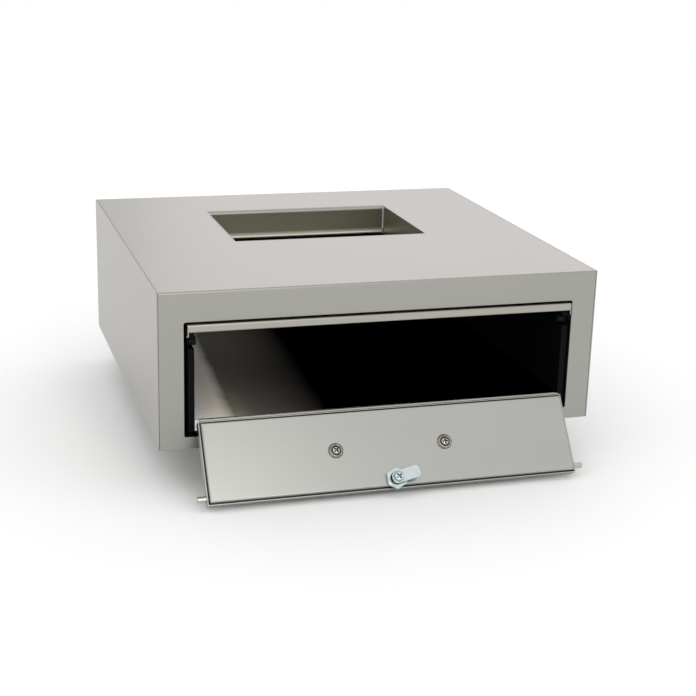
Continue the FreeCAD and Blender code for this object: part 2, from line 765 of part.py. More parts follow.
for side, sign in SIDES:
    for body in (rail, tray):
        cut(body, "YZ", *span(edge_inner * sign, rail_x * sign),
            (tab_rivet_y, tab_rivet_z, small_rivet_r))
group("top_rail_rivets", [
    rivet((rail_x.value * sign, tab_rivet_y.value, tab_rivet_z.value), (-sign, 0, 0),
          (strip_t + tray_t).value, small_rivet_r.value)
    for side, sign in SIDES])

# Screws that hold the drawer's slide rails to its walls.
rail_screw_y = [slide_y0 + slide_run * share for share in (0.1, 0.5, 0.9)]
rail_screw_r = size("rail_screw_radius")
for side, sign in SIDES:
    for body, near_x, far_x in ((find(f"slide_drawer_rail_{side}"), tray_outer, tray_outer + rail_t),
                                (tray, tray_x, tray_outer)):
        cut(body, "YZ", *span(near_x * sign, far_x * sign),
            *spots([(y, slide_z) for y in rail_screw_y], rail_screw_r))
group("drawer_rail_screws", [
    pan_screw(((tray_outer + rail_t).value * sign, y.value, slide_z.value), (-sign, 0, 0),
              (rail_t + tray_t).value, rail_screw_r.value)
    for side, sign in SIDES for y in rail_screw_y])

# Piano hinge. The fixed leaf stands on the floor's lip; the other leaf lies under the flap.
hinge_x = flap_x - size("hinge_end_gap")
leaf_t = size("hinge_sheet")
moving_knuckles = round((hinge_x.value * 2 / SIZES["knuckle_length"] - 1) / 2)
knuckle_step = hinge_x * 2 / (moving_knuckles * 2 + 1)
gap = size("knuckle_gap") / 2
relief = knuckle + size("knuckle_gap")


def make_leaf(body, plate, tongue, centre, bore, first, count):
    """A leaf of the hinge: its plate, and a row of knuckles that tongues join to it."""
    add(body, "YZ", -hinge_x, hinge_x, plate)
    start = -hinge_x + knuckle_step * first + gap
    end = start + knuckle_step - gap * 2
    joined = add(body, "YZ", start, end, tongue)
    rolled = add(body, "YZ", start, end, (*centre, knuckle))
    repeat(body, [joined, rolled], "X_Axis", knuckle_step * 2, count)
    cut(body, "YZ", -hinge_x, hinge_x, (*centre, bore))


fixed_leaf = new_body("hinge_fixed_leaf")
make_leaf(fixed_leaf,
          box(front - leaf_t, front, pin_z - size("hinge_leaf_drop"), pin_z - relief),
          box(front - leaf_t, front, pin_z - relief, pin_z),
          (pin_y, pin_z), size("pin_radius"), 0, moving_knuckles + 1)
hinge_rivet_x = [hinge_x * share for share in (-0.9, -0.55, -0.2, 0.2, 0.55, 0.9)]
hinge_rivet_z = pin_z - relief - size("hinge_rivet_inset") - size("floor_bend") / 2
hinge_rivet_holes = spots([(x, hinge_rivet_z) for x in hinge_rivet_x], small_rivet_r)
cut(fixed_leaf, "XZ", front - leaf_t, front, *hinge_rivet_holes)
cut(floor, "XZ", front, front + floor_t, *hinge_rivet_holes)
group("hinge_rivets_drawer", [
    rivet((x.value, (front - leaf_t).value, hinge_rivet_z.value), (0, 1, 0),
          (leaf_t + floor_t).value, small_rivet_r.value)
    for x in hinge_rivet_x])
hinge_pin = new_body("hinge_pin")
add(hinge_pin, "YZ", -hinge_x, hinge_x, (pin_y, pin_z, size("pin_radius")))

# The flap is made in its shut position about the hinge pin, then swung open about it.
flap_placement = FreeCAD.Placement(
    FreeCAD.Vector(0, pin_y.value, pin_z.value),
    FreeCAD.Rotation(FreeCAD.Vector(1, 0, 0), SIZES["flap_open"]))


def on_flap(body):
    body.Placement = flap_placement
    body.setExpression("Placement.Base.y", pin_y.text)
    body.setExpression("Placement.Base.z", pin_z.text)
    body.setExpression("Placement.Rotation.Angle", "Sizes.flap_open")
    return body


flap_t = size("flap_sheet")
skin_y = -size("flap_forward")
cover_y = skin_y + size("flap_thickness")
rim_y = skin_y + size("flap_rim")
step = size("cover_step")

flap_leaf = on_flap(new_body("hinge_flap_leaf"))
make_leaf(flap_leaf,
          box(relief, size("hinge_leaf_reach"), flap_foot - leaf_t, flap_foot),
          box(zero, relief, flap_foot - leaf_t, flap_foot),
          (zero, zero), size("pin_radius") + size("pin_play"), 1, moving_knuckles)
leaf_rivet_y = relief + size("hinge_rivet_inset")
leaf_rivet_holes = spots([(x, leaf_rivet_y) for x in hinge_rivet_x], small_rivet_r)
cut(flap_leaf, "XY", flap_foot - leaf_t, flap_foot, *leaf_rivet_holes)

# Outer pan: the face that the teller sees, with a rim all round. The lock and the handle sit a
# little to the left of the flap's middle.
pan = on_flap(new_body("flap_outer_pan"))
add(pan, "XZ", skin_y, rim_y, box(-flap_x, flap_x, flap_foot, flap_head))
cut(pan, "XZ", skin_y + flap_t, rim_y,
    box(-flap_x + flap_t, flap_x - flap_t, flap_foot + flap_t, flap_head - flap_t))
fittings_x = size("fittings_offset")
lock_z = flap_head - size("lock_drop")
handle_z = size("handle_height")
handle_x = size("handle_pitch") / 2
handle_screw_r = size("handle_screw_radius")
lock_hole = (fittings_x, lock_z, size("lock_radius"))
handle_holes = spots([(fittings_x + handle_x * sign, handle_z) for side, sign in SIDES],
                     handle_screw_r)
cut(pan, "XZ", skin_y, skin_y + flap_t, lock_hole, *handle_holes)
rim_inside = flap_x - flap_t
for side, sign in SIDES:
    cut(pan, "YZ", *span(rim_inside * sign, flap_x * sign), (stud_y, stud_z, size("stud_shank")))
cut(pan, "XY", flap_foot, flap_foot + flap_t, *leaf_rivet_holes)
round_edges(pan, size("cover_bend"), (1, 0, 0), lambda p: near(p.y, skin_y) and near(p.z, flap_head))

group("hinge_rivets_flap", [
    rivet((x.value, leaf_rivet_y.value, (flap_foot - leaf_t).value), (0, 0, 1),
          (leaf_t + flap_t).value, small_rivet_r.value)
    for x in hinge_rivet_x], flap_placement)

# Inner cover: a shallow pan let into the outer one, which closes the flap's back.
cover = on_flap(new_body("flap_inner_cover"))
cover_x = flap_x - step
cover_foot = flap_foot + step
cover_head = flap_head - step
cover_edge_y = cover_y - size("cover_rim")
add(cover, "XZ", cover_edge_y, cover_y, box(-cover_x, cover_x, cover_foot, cover_head))
round_edges(cover, size("cover_bend"), None, lambda p: near(p.y, cover_y))
cut(cover, "XZ", cover_edge_y, cover_y - flap_t,
    box(-cover_x + flap_t, cover_x - flap_t, cover_foot + flap_t, cover_head - flap_t))
cut(cover, "XZ", cover_y - flap_t, cover_y, lock_hole, *handle_holes)
relief_x = size("lock_radius") + size("lock_relief")
cut(cover, "XZ", cover_edge_y, cover_y - flap_t,
    box(fittings_x - relief_x, fittings_x + relief_x, cover_head - flap_t, cover_head))

# Pins at the free corners: each has a thinner shank through the rim, and a head formed inside.
for side, sign in SIDES:
    stud = on_flap(new_body(f"flap_pin_{side}"))
    for near_end, far_end, radius in (
            (flap_x, flap_x + size("stud_reach"), size("stud_radius")),
            (rim_inside, flap_x, size("stud_shank")),
            (rim_inside - size("stud_rivet"), rim_inside, size("stud_head"))):
        add(stud, "YZ", *span(near_end * sign, far_end * sign), (stud_y, stud_z, radius))

# Pull handle on the flap's face: a round bar bent at both ends, held by two screws from inside.
handle = on_flap(new_body("pull_handle"))
bend = size("handle_bend").value
turn = bend * math.sqrt(0.5)
left = (fittings_x - handle_x).value
right = (fittings_x + handle_x).value
near_y = skin_y.value
far_y = (skin_y - size("handle_projection") + size("handle_radius")).value
arc_y = far_y + bend
arc_left = Part.Arc(FreeCAD.Vector(left, arc_y, 0),
                    FreeCAD.Vector(left + bend - turn, arc_y - turn, 0),
                    FreeCAD.Vector(left + bend, far_y, 0))
arc_right = Part.Arc(FreeCAD.Vector(right - bend, far_y, 0),
                     FreeCAD.Vector(right - bend + turn, arc_y - turn, 0),
                     FreeCAD.Vector(right, arc_y, 0))
spine = new_sketch(handle, "XY", handle_z)
spine.addGeometry(Part.LineSegment(FreeCAD.Vector(left, near_y, 0),
                                   FreeCAD.Vector(left, arc_y, 0)), False)
spine.addGeometry(arc_left, False)
spine.addGeometry(Part.LineSegment(FreeCAD.Vector(left + bend, far_y, 0),
                                   FreeCAD.Vector(right - bend, far_y, 0)), False)
spine.addGeometry(arc_right, False)
spine.addGeometry(Part.LineSegment(FreeCAD.Vector(right, arc_y, 0),
                                   FreeCAD.Vector(right, near_y, 0)), False)
section = new_sketch(handle, "XZ", skin_y)
draw(section, [(fittings_x - handle_x, handle_z, size("handle_radius"))])
pipe = handle.newObject("PartDesign::AdditivePipe", "handle_bar")
pipe.Profile = section
pipe.Spine = (spine, [])
document.recompute()
grip = size("handle_screw_grip")
cut(handle, "XZ", skin_y - grip, skin_y, *handle_holes)

# Cup washers and raised screws on the cover's side, and spacers between the flap's two skins.
shank = handle_screw_r.value
washer_r = size("washer_radius").value
washer_h = size("washer_height").value
washer_rim = size("washer_rim").value
seat_r = washer_r - washer_rim
seat_foot = -washer_h * 0.4
inner_skin = (cover_y - flap_t).value
group("handle_cup_washers", [
    turned([(0, shank), (0, washer_r), (-washer_h * 0.23, washer_r),
            (-washer_h * 0.8, washer_r - washer_rim * 0.53), (-washer_h, washer_r - washer_rim * 0.8),
            (-washer_h, seat_r), (seat_foot, shank)],
           (x, cover_y.value, handle_z.value), (0, -1, 0))
    for x in (left, right)], flap_placement)
spacer_r = size("spacer_radius").value
spacer_length = (cover_y - flap_t * 2 - skin_y).value
group("handle_spacers", [
    turned([(0, shank), (0, spacer_r), (spacer_length, spacer_r), (spacer_length, shank)],
           (x, inner_skin, handle_z.value), (0, -1, 0))
    for x in (left, right)], flap_placement)
crown = size("handle_screw_crown").value
screw_profile = [(-washer_h - crown, 0), (-washer_h - crown * 0.83, seat_r * 0.5),
                 (-washer_h - crown * 0.42, seat_r * 0.85), (-washer_h, seat_r),
                 (seat_foot, shank), ((cover_y - skin_y + grip).value, shank),
                 ((cover_y - skin_y + grip).value, 0)]
group("handle_screws", [
    recessed(turned(screw_profile, (0, 0, 0), (0, 0, 1)), -washer_h - crown, seat_r,
             seat_r * 0.21, crown * 2, (x, cover_y.value, handle_z.value), (0, -1, 0))
    for x in (left, right)], flap_placement)

# Cam lock: a threaded barrel through both skins, with its flange outside and a nut inside.
barrel = on_flap(new_body("lock_barrel"))
flange_y = skin_y - size("lock_flange")
lock_end = size("lock_end")
lock_r = size("lock_radius")
flat = size("lock_flat")
add(barrel, "XZ", flange_y, skin_y, (fittings_x, lock_z, size("lock_flange_radius")))
add(barrel, "XZ", skin_y, lock_end, lock_hole)
cut(barrel, "XZ", flange_y, lock_end,
    (fittings_x, lock_z, size("plug_radius") + size("plug_play")))
cut(barrel, "XZ", skin_y, lock_end,
    *[box(*span(fittings_x + flat * sign, fittings_x + lock_r * sign), lock_z - lock_r, lock_z + lock_r)
      for side, sign in SIDES])

nut = on_flap(new_body("lock_nut"))
nut_flat = size("lock_nut_flats") / 2
nut_corner = nut_flat * (2 / math.sqrt(3))
add(nut, "XZ", cover_y, cover_y + size("lock_nut_height"),
    [(fittings_x + nut_flat, lock_z + nut_corner / 2), (fittings_x, lock_z + nut_corner),
     (fittings_x - nut_flat, lock_z + nut_corner / 2), (fittings_x - nut_flat, lock_z - nut_corner / 2),
     (fittings_x, lock_z - nut_corner), (fittings_x + nut_flat, lock_z - nut_corner / 2)],
    lock_hole)

# The plug, cam and cam screw turn together about the barrel's axis. They are made with the cam
# pointing along +X, then turned to the unlocked position.
lock_placement = flap_placement.multiply(FreeCAD.Placement(
    FreeCAD.Vector(fittings_x.value, 0, lock_z.value),
    FreeCAD.Rotation(FreeCAD.Vector(0, 1, 0), SIZES["cam_rest_angle"])))


def on_lock(body):
    body.Placement = lock_placement
    return body


plug = on_lock(new_body("lock_plug"))
half_square = size("plug_square") / 2
cam_y0 = lock_end + size("cam_gap")
cam_y1 = cam_y0 + size("cam_sheet")
cam_screw_r = size("cam_screw_radius")
add(plug, "XZ", flange_y, cam_y0, (zero, zero, size("plug_radius")))
add(plug, "XZ", cam_y0, cam_y1, box(-half_square, half_square, -half_square, half_square))
half_key = size("keyway_width") / 2
cut(plug, "XZ", flange_y, flange_y + size("keyway_depth"),
    box(-half_key, half_key, -size("keyway_height") / 2, size("keyway_height") / 2))
cut(plug, "XZ", cam_y1 - size("cam_screw_length"), cam_y1, (zero, zero, cam_screw_r))

cam = on_lock(new_body("lock_cam"))
cam_half = size("cam_width") / 2
add(cam, "XZ", cam_y0, cam_y1, box(-cam_half, size("cam_reach"), -cam_half, cam_half))
cut(cam, "XZ", cam_y0, cam_y1, box(-half_square, half_square, -half_square, half_square))
round_edges(cam, cam_half * 0.96, (0, 1, 0), lambda p: near(p.x, -cam_half))
round_edges(cam, size("cam_corner"), (0, 1, 0), lambda p: near(p.x, size("cam_reach")))

cam_washer_r = size("cam_washer_radius").value
cam_washer_t = size("cam_washer_sheet").value
cam_washer_bore = (cam_screw_r + size("plug_play")).value
group("lock_cam_washer", [
    turned([(0, cam_washer_bore), (0, cam_washer_r), (-cam_washer_t, cam_washer_r),
            (-cam_washer_t, cam_washer_bore)], (0, cam_y1.value, 0), (0, -1, 0))],
      lock_placement)
group("lock_cam_screw", [
    pan_screw((0, cam_y1.value + cam_washer_t, 0), (0, -1, 0),
              cam_washer_t + size("cam_screw_length").value, cam_screw_r.value)],
      lock_placement)

document.recompute()
for item in document.Objects:
    if "Invalid" in item.State or "Error" in item.State:
        raise ValueError(f"{item.Label} failed: {item.State}")

os.makedirs("parts", exist_ok=True)
for item in subparts:
    shape = item.Shape
    if shape.isNull() or not shape.isValid():
        raise ValueError(f"{item.Label} has no valid shape")
    shape.exportStep(f"parts/{item.Label}.step")
    print(f"{item.Label}: {len(shape.Solids)} solid(s), {shape.Volume:.0f} mm3")
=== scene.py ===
import json
import math

import bmesh
import bpy
from mathutils import Matrix, Vector

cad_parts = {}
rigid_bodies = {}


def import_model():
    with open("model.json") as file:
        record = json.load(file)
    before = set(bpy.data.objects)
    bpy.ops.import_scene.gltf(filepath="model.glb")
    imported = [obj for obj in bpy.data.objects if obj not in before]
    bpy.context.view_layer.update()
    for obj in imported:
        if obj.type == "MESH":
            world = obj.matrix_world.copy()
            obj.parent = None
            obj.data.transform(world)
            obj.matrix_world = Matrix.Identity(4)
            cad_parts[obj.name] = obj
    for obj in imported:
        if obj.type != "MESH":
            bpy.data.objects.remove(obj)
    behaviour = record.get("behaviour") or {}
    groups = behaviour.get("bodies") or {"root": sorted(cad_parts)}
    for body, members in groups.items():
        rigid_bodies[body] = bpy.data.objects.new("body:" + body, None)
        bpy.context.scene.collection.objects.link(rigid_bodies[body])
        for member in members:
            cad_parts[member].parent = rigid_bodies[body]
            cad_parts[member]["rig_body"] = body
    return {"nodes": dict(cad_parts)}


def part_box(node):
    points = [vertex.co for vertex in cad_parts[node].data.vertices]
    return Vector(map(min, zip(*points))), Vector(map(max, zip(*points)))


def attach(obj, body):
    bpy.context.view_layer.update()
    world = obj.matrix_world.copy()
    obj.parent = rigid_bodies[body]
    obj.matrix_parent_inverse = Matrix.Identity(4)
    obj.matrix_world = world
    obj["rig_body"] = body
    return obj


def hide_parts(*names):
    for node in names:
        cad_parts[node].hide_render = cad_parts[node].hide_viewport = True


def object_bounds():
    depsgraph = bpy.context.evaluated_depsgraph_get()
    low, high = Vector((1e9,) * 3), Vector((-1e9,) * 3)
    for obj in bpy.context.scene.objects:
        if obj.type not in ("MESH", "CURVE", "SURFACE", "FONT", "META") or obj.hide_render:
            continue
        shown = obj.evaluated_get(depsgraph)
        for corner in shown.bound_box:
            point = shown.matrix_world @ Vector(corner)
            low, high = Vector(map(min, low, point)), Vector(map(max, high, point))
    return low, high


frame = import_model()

cad_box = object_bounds()

# ---------------------------------------------------------------- casing front and top
# One sheet of 1.2 mm stainless steel (grade 304), belt-ground to a satin and folded over at the
# front's top edge. The drawer's opening is framed by a return, and the slot is cut in the top.
# The grinding leaves lines along X, so the sheet looks dull and even with a faint streaky grain.
mm = 0.001
sheet_thickness = 1.2 * mm
sheet_edge = 0.25 * mm


def linear(hex_colour):
    """An sRGB hex colour as linear RGBA."""
    channels = [int(hex_colour[start:start + 2], 16) / 255 for start in (1, 3, 5)]
    return tuple(c / 12.92 if c <= 0.04045 else ((c + 0.055) / 1.055) ** 2.4
                 for c in channels) + (1.0,)


def add_node(tree, kind, inputs=None, **settings):
    """Adds a node. inputs maps a socket's name or number to a value, a socket or several."""
    node = tree.nodes.new(kind)
    for name, value in settings.items():
        setattr(node, name, value)
    for name, value in (inputs or {}).items():
        several = value if isinstance(value, list) else [value]
        if isinstance(several[0], bpy.types.NodeSocket):
            for source in several:
                tree.links.new(source, node.inputs[name])
        else:
            node.inputs[name].default_value = value
    return node


def bare_material(name):
    """A new material, its empty tree, and the place on the piece that its patterns follow."""
    material = bpy.data.materials.new(name)
    material.use_nodes = True
    tree = material.node_tree
    tree.nodes.clear()
    return material, tree, add_node(tree, "ShaderNodeTexCoord").outputs["Object"]


def ground_lines(tree, place, along, grain, run):
    """The lines that a belt leaves along one axis, a grain apart and about a run long."""
    lines_at = add_node(tree, "ShaderNodeMapping", {
        "Vector": place, "Scale": [1 / run if axis == along else 1 / grain for axis in "XYZ"]})
    lines = add_node(tree, "ShaderNodeTexNoise", {
        "Vector": lines_at.outputs[0], "Scale": 1.0, "Detail": 3.0, "Roughness": 0.6})
    return lines.outputs["Fac"]


def ground_steel(name, dark, light, roughness, along, grain=0.5 * mm):
    """Stainless sheet ground with a belt. The lines of a real belt are about 0.1 mm apart, and
    these are drawn coarser so that they show. They streak the light along one axis, and clouds
    about 90 mm wide keep the sheet from looking printed."""
    run, cloud, line_depth = 45 * mm, 90 * mm, 0.004 * mm
    material, tree, place = bare_material(name)
    lines = ground_lines(tree, place, along, grain, run)
    clouds = add_node(tree, "ShaderNodeTexNoise", {
        "Vector": place, "Scale": 1 / cloud, "Detail": 2.0})
    blend = add_node(tree, "ShaderNodeMix", {
        0: 0.35, 2: lines, 3: clouds.outputs["Fac"]}, data_type="FLOAT")
    tint = add_node(tree, "ShaderNodeMix", {
        0: blend.outputs[0], 6: linear(dark), 7: linear(light)}, data_type="RGBA")
    rough = add_node(tree, "ShaderNodeMapRange", {
        "Value": blend.outputs[0], "To Min": roughness - 0.05, "To Max": roughness + 0.05})
    bump = add_node(tree, "ShaderNodeBump", {
        "Height": lines, "Strength": 1.0, "Distance": line_depth})
    steel = add_node(tree, "ShaderNodeBsdfPrincipled", {
        "Base Color": tint.outputs[2], "Metallic": 1.0, "Roughness": rough.outputs[0],
        "Normal": bump.outputs[0]})
    add_node(tree, "ShaderNodeOutputMaterial", {"Surface": steel.outputs[0]})
    return material


def add_object(name, data):
    """A new object in the scene."""
    thing = bpy.data.objects.new(name, data)
    bpy.context.scene.collection.objects.link(thing)
    return thing


def shade_smooth(piece):
    """Lets light run evenly over a piece's curves."""
    for polygon in piece.data.polygons:
        polygon.use_smooth = True


def soften(piece, edge, clamp=False):
    """Rounds a piece's sharp edges a little, and keeps its flat faces flat. Clamping keeps the
    rounding within short edges."""
    shade_smooth(piece)
    bevel = piece.modifiers.new("softened_edges", "BEVEL")
    bevel.width = edge
    bevel.segments = 2
    bevel.limit_method = "ANGLE"
    bevel.angle_limit = math.radians(35)
    bevel.use_clamp_overlap = clamp
    evened = piece.modifiers.new("flat_faces", "WEIGHTED_NORMAL")
    evened.keep_sharp = True
    evened.weight = 100


def seat(piece, node):
    """Puts a piece on the body of the sub-part that it stands for."""
    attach(piece, frame["nodes"][node]["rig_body"])
    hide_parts(node)


def stand(name, form, material):
    """A new object from a bmesh, in one finish."""
    mesh = bpy.data.meshes.new(name)
    form.to_mesh(mesh)
    form.free()
    mesh.materials.append(material)
    for polygon in mesh.polygons:
        polygon.material_index = 0
    return add_object(name, mesh)


def welded(node):
    """A copy of a sub-part's mesh with its loose triangles joined."""
    form = bmesh.new()
    form.from_mesh(frame["nodes"][node].data)
    bmesh.ops.remove_doubles(form, verts=form.verts, dist=0.001 * mm)
    return form


def dress(node, material, edge=sheet_edge, clamp=False):
    """Stands a welded copy of a sub-part, its edges softened, in its place in one finish."""
    form = welded(node)
    bmesh.ops.dissolve_limit(
        form, verts=form.verts, edges=form.edges, angle_limit=math.radians(0.3))
    piece = stand(f"{node}_finished", form, material)
    soften(piece, edge, clamp)
    seat(piece, node)


casing_steel = ground_steel("ground_stainless_casing", "#9A9A95", "#A6A59F", 0.36, "X")
dress("casing_wrap", casing_steel)

# ---------------------------------------------------------------- side, back and base panels
# The same stainless sheet. The side panels are ground from front to back and welded on from
# inside, so that only a fine dark joint shows along the front and top edges. Their steel is
# painted a little lighter than the casing's, as painted light.
# Painted light: a lighter copy of the casing's steel.
side_steel_painted_lighter = ground_steel("ground_stainless_sides_painted_lighter", "#A6A5A1", "#B2B0AC", 0.38, "Y")
for node in ("side_panel_left", "side_panel_right"):
    dress(node, side_steel_painted_lighter)
for node in ("base_panel", "back_panel"):
    dress(node, casing_steel)

# ---------------------------------------------------------------- panel and rail screws
# Pan-head screws with a cross recess hold the back panel, the drawer's rails and the buffers.
# They are nickel plated, bright and slightly uneven in tone; the buffers' own are painted black,
# as painted shade.
def plated(name, dark, light, roughness, spread=4 * mm, hollow_shade="#1E1B17"):
    """The finish of small metal pieces, plated or bare. Its tone drifts from one patch to the
    next, and ambient occlusion paints its hollows darker, as painted shade. Its grain is drawn
    0.3 mm wide, coarser than real, and gives only a faint unevenness in the gloss."""
    hollow, grain, grain_depth = 2.2 * mm, 0.3 * mm, 0.004 * mm
    material, tree, place = bare_material(name)
    patches = add_node(tree, "ShaderNodeTexNoise", {
        "Vector": place, "Scale": 1 / spread, "Detail": 3.0})
    tint = add_node(tree, "ShaderNodeMix", {
        0: patches.outputs["Fac"], 6: linear(dark), 7: linear(light)}, data_type="RGBA")
    # Painted shade: ambient occlusion darkens the hollows towards a dark colour.
    depth = add_node(tree, "ShaderNodeAmbientOcclusion", {"Distance": hollow}, samples=8)
    hollow_shade_share = add_node(tree, "ShaderNodeMapRange", {
        "Value": depth.outputs["AO"], "From Min": 0.5, "From Max": 0.85})
    shaded_in_hollows = add_node(tree, "ShaderNodeMix", {
        0: hollow_shade_share.outputs[0], 6: linear(hollow_shade), 7: tint.outputs[2]}, data_type="RGBA")
    rough = add_node(tree, "ShaderNodeMapRange", {
        "Value": patches.outputs["Fac"],
        "To Min": roughness - 0.06, "To Max": roughness + 0.06})
    unevenness = add_node(tree, "ShaderNodeTexNoise", {
        "Vector": place, "Scale": 1 / grain, "Detail": 2.0})
    bump = add_node(tree, "ShaderNodeBump", {
        "Height": unevenness.outputs["Fac"], "Strength": 0.5, "Distance": grain_depth})
    metal = add_node(tree, "ShaderNodeBsdfPrincipled", {
        "Base Color": shaded_in_hollows.outputs[2], "Metallic": 1.0, "Roughness": rough.outputs[0],
        "Normal": bump.outputs[0]})
    add_node(tree, "ShaderNodeOutputMaterial", {"Surface": metal.outputs[0]})
    return material


def open_tree(name, sizes, output):
    """A new tree with an input for its places, one for each named size and one for its finish."""
    tree = bpy.data.node_groups.new(name, "GeometryNodeTree")
    for label, kind in {"Places": "Geometry", **sizes, "Finish": "Material"}.items():
        tree.interface.new_socket(label, in_out="INPUT", socket_type=f"NodeSocket{kind}")
    tree.interface.new_socket(output, in_out="OUTPUT", socket_type="NodeSocketGeometry")
    return tree, add_node(tree, "NodeGroupInput").outputs


def close_tree(tree, given, output, shape, **turned):
    """Ends a tree with its shape at each of its places, turned if need be, as real mesh in its
    finish."""
    placed = add_node(tree, "GeometryNodeInstanceOnPoints", {
        "Points": given["Places"], "Instance": shape, **turned})
    solid = add_node(tree, "GeometryNodeRealizeInstances", {"Geometry": placed.outputs[0]})
    finish = add_node(tree, "GeometryNodeSetMaterial", {
        "Geometry": solid.outputs[0], "Material": given["Finish"]})
    add_node(tree, "NodeGroupOutput", {output: finish.outputs[0]})


def fastener_tree(name, crossed):
    """Sets one fastener at each place. It has a domed head above a shank, and a cross recess
    with a worn pit in its middle if it is a screw, or a flat formed tail if it is a rivet."""
    dome_spread, pit_spread, upside_down = (1.15, 1.15, 1.0), (1.15, 0.3, 1.0), (math.pi, 0, 0)
    end_size = "Slot Size" if crossed else "Tail Size"
    tree, given = open_tree(name, {
        "Head Size": "Vector", "Shank Size": "Vector", end_size: "Vector",
        "Facing": "Vector"}, "Fasteners")
    rod = add_node(tree, "GeometryNodeMeshCylinder", {
        "Vertices": 32, "Radius": 1.0, "Depth": 1.0})
    bar = add_node(tree, "GeometryNodeTransform", {
        "Geometry": rod.outputs["Mesh"], "Translation": (0, 0, 0.5)})
    globe = add_node(tree, "GeometryNodeMeshUVSphere", {
        "Segments": 32, "Rings": 16, "Radius": 1.0})
    wide_globe = add_node(tree, "GeometryNodeTransform", {
        "Geometry": globe.outputs["Mesh"], "Scale": dome_spread})
    sides = add_node(tree, "GeometryNodeTransform", {
        "Geometry": bar.outputs[0], "Scale": given["Head Size"]})
    dome = add_node(tree, "GeometryNodeTransform", {
        "Geometry": wide_globe.outputs[0], "Scale": given["Head Size"]})
    head = add_node(tree, "GeometryNodeMeshBoolean", {
        "Mesh 2": [sides.outputs[0], dome.outputs[0]]}, operation="INTERSECT", solver="EXACT")
    shank = add_node(tree, "GeometryNodeTransform", {
        "Geometry": bar.outputs[0], "Scale": given["Shank Size"], "Rotation": upside_down})
    if crossed:
        head_height = add_node(tree, "ShaderNodeSeparateXYZ", {0: given["Head Size"]})
        crown = add_node(tree, "ShaderNodeCombineXYZ", {"Z": head_height.outputs["Z"]})
        block = add_node(tree, "GeometryNodeMeshCube")
        slot = add_node(tree, "GeometryNodeTransform", {
            "Geometry": block.outputs["Mesh"], "Scale": given["Slot Size"],
            "Translation": crown.outputs[0]})
        across = add_node(tree, "GeometryNodeTransform", {
            "Geometry": slot.outputs[0], "Rotation": (0, 0, math.pi / 2)})
        pit = add_node(tree, "GeometryNodeTransform", {
            "Geometry": slot.outputs[0], "Scale": pit_spread,
            "Rotation": (0, 0, math.pi / 4)})
        head = add_node(tree, "GeometryNodeMeshBoolean", {
            "Mesh 1": head.outputs["Mesh"],
            "Mesh 2": [slot.outputs[0], across.outputs[0], pit.outputs[0]]},
            operation="DIFFERENCE", solver="EXACT")
        joined = [head.outputs["Mesh"], shank.outputs[0]]
    else:
        shank_length = add_node(tree, "ShaderNodeSeparateXYZ", {0: given["Shank Size"]})
        below = add_node(tree, "ShaderNodeMath", {0: shank_length.outputs["Z"], 1: -1.0},
                         operation="MULTIPLY")
        foot = add_node(tree, "ShaderNodeCombineXYZ", {"Z": below.outputs[0]})
        tail = add_node(tree, "GeometryNodeTransform", {
            "Geometry": bar.outputs[0], "Scale": given["Tail Size"],
            "Rotation": upside_down, "Translation": foot.outputs[0]})
        joined = [head.outputs["Mesh"], shank.outputs[0], tail.outputs[0]]
    whole = add_node(tree, "GeometryNodeMeshBoolean", {"Mesh 2": joined},
                     operation="UNION", solver="EXACT")
    aimed = add_node(tree, "FunctionNodeAlignRotationToVector", {
        "Vector": given["Facing"]}, axis="Z")
    turn = add_node(tree, "GeometryNodeInputNamedAttribute", {
        "Name": "turn"}, data_type="FLOAT")
    spin = add_node(tree, "FunctionNodeAxisAngleToRotation", {
        "Axis": (0, 0, 1), "Angle": turn.outputs["Attribute"]})
    turned = add_node(tree, "FunctionNodeRotateRotation", {
        "Rotation": aimed.outputs[0], "Rotate By": spin.outputs[0]}, rotation_space="LOCAL")
    close_tree(tree, given, "Fasteners", whole.outputs["Mesh"], Rotation=turned.outputs[0])
    return tree


def grown(name, points, tree, sizes, turns=None):
    """A plain mesh of what a tree makes at some points. Sizes go by the tree's input names."""
    mesh = bpy.data.meshes.new(name)
    mesh.from_pydata(points, [], [])
    if turns:
        mesh.attributes.new("turn", "FLOAT", "POINT").data.foreach_set("value", turns)
    piece = add_object(name, mesh)
    maker = piece.modifiers.new("maker", "NODES")
    maker.node_group = tree
    sockets = {item.name: item.identifier for item in tree.interface.items_tree
               if item.in_out == "INPUT"}
    for label, value in sizes.items():
        maker[sockets[label]] = value
    made = piece.evaluated_get(bpy.context.evaluated_depsgraph_get())
    solid = bpy.data.meshes.new_from_object(made)
    piece.modifiers.clear()
    piece.data = solid
    return piece


def crowns(node, facing):
    """The middle of each fastener's crown in a set that faces one way."""
    facing = Vector(facing).normalized()
    across = facing.orthogonal().normalized()
    up = facing.cross(across)
    form = welded(node)
    left = set(form.verts)
    found = []
    while left:
        island, edge = set(), [left.pop()]
        while edge:
            vertex = edge.pop()
            island.add(vertex)
            near = {link.other_vert(vertex) for link in vertex.link_edges} & left
            left -= near
            edge += near
        spans = [[vertex.co.dot(axis) for vertex in island] for axis in (across, up, facing)]
        middle = [(min(span) + max(span)) / 2 for span in spans[:2]]
        found.append(across * middle[0] + up * middle[1] + facing * max(spans[2]))
    form.free()
    return sorted(found, key=lambda point: tuple(round(value, 5) for value in point))


def fasten(node, tree, finish, sets, edge=0.12 * mm):
    """Replaces a node's screws or rivets. Each set is (facing, crowns, sizes, turns)."""
    form = bmesh.new()
    for facing, points, sizes, turns in sets:
        seats = [point - Vector(facing) * sizes["Head Size"][2] for point in points]
        sizes = {**sizes, "Facing": facing, "Finish": finish}
        part = grown(f"{node}_part", seats, tree, sizes, turns)
        form.from_mesh(part.data)
        bpy.data.objects.remove(part)
    piece = stand(f"{node}_finished", form, finish)
    soften(piece, edge, clamp=True)
    seat(piece, node)


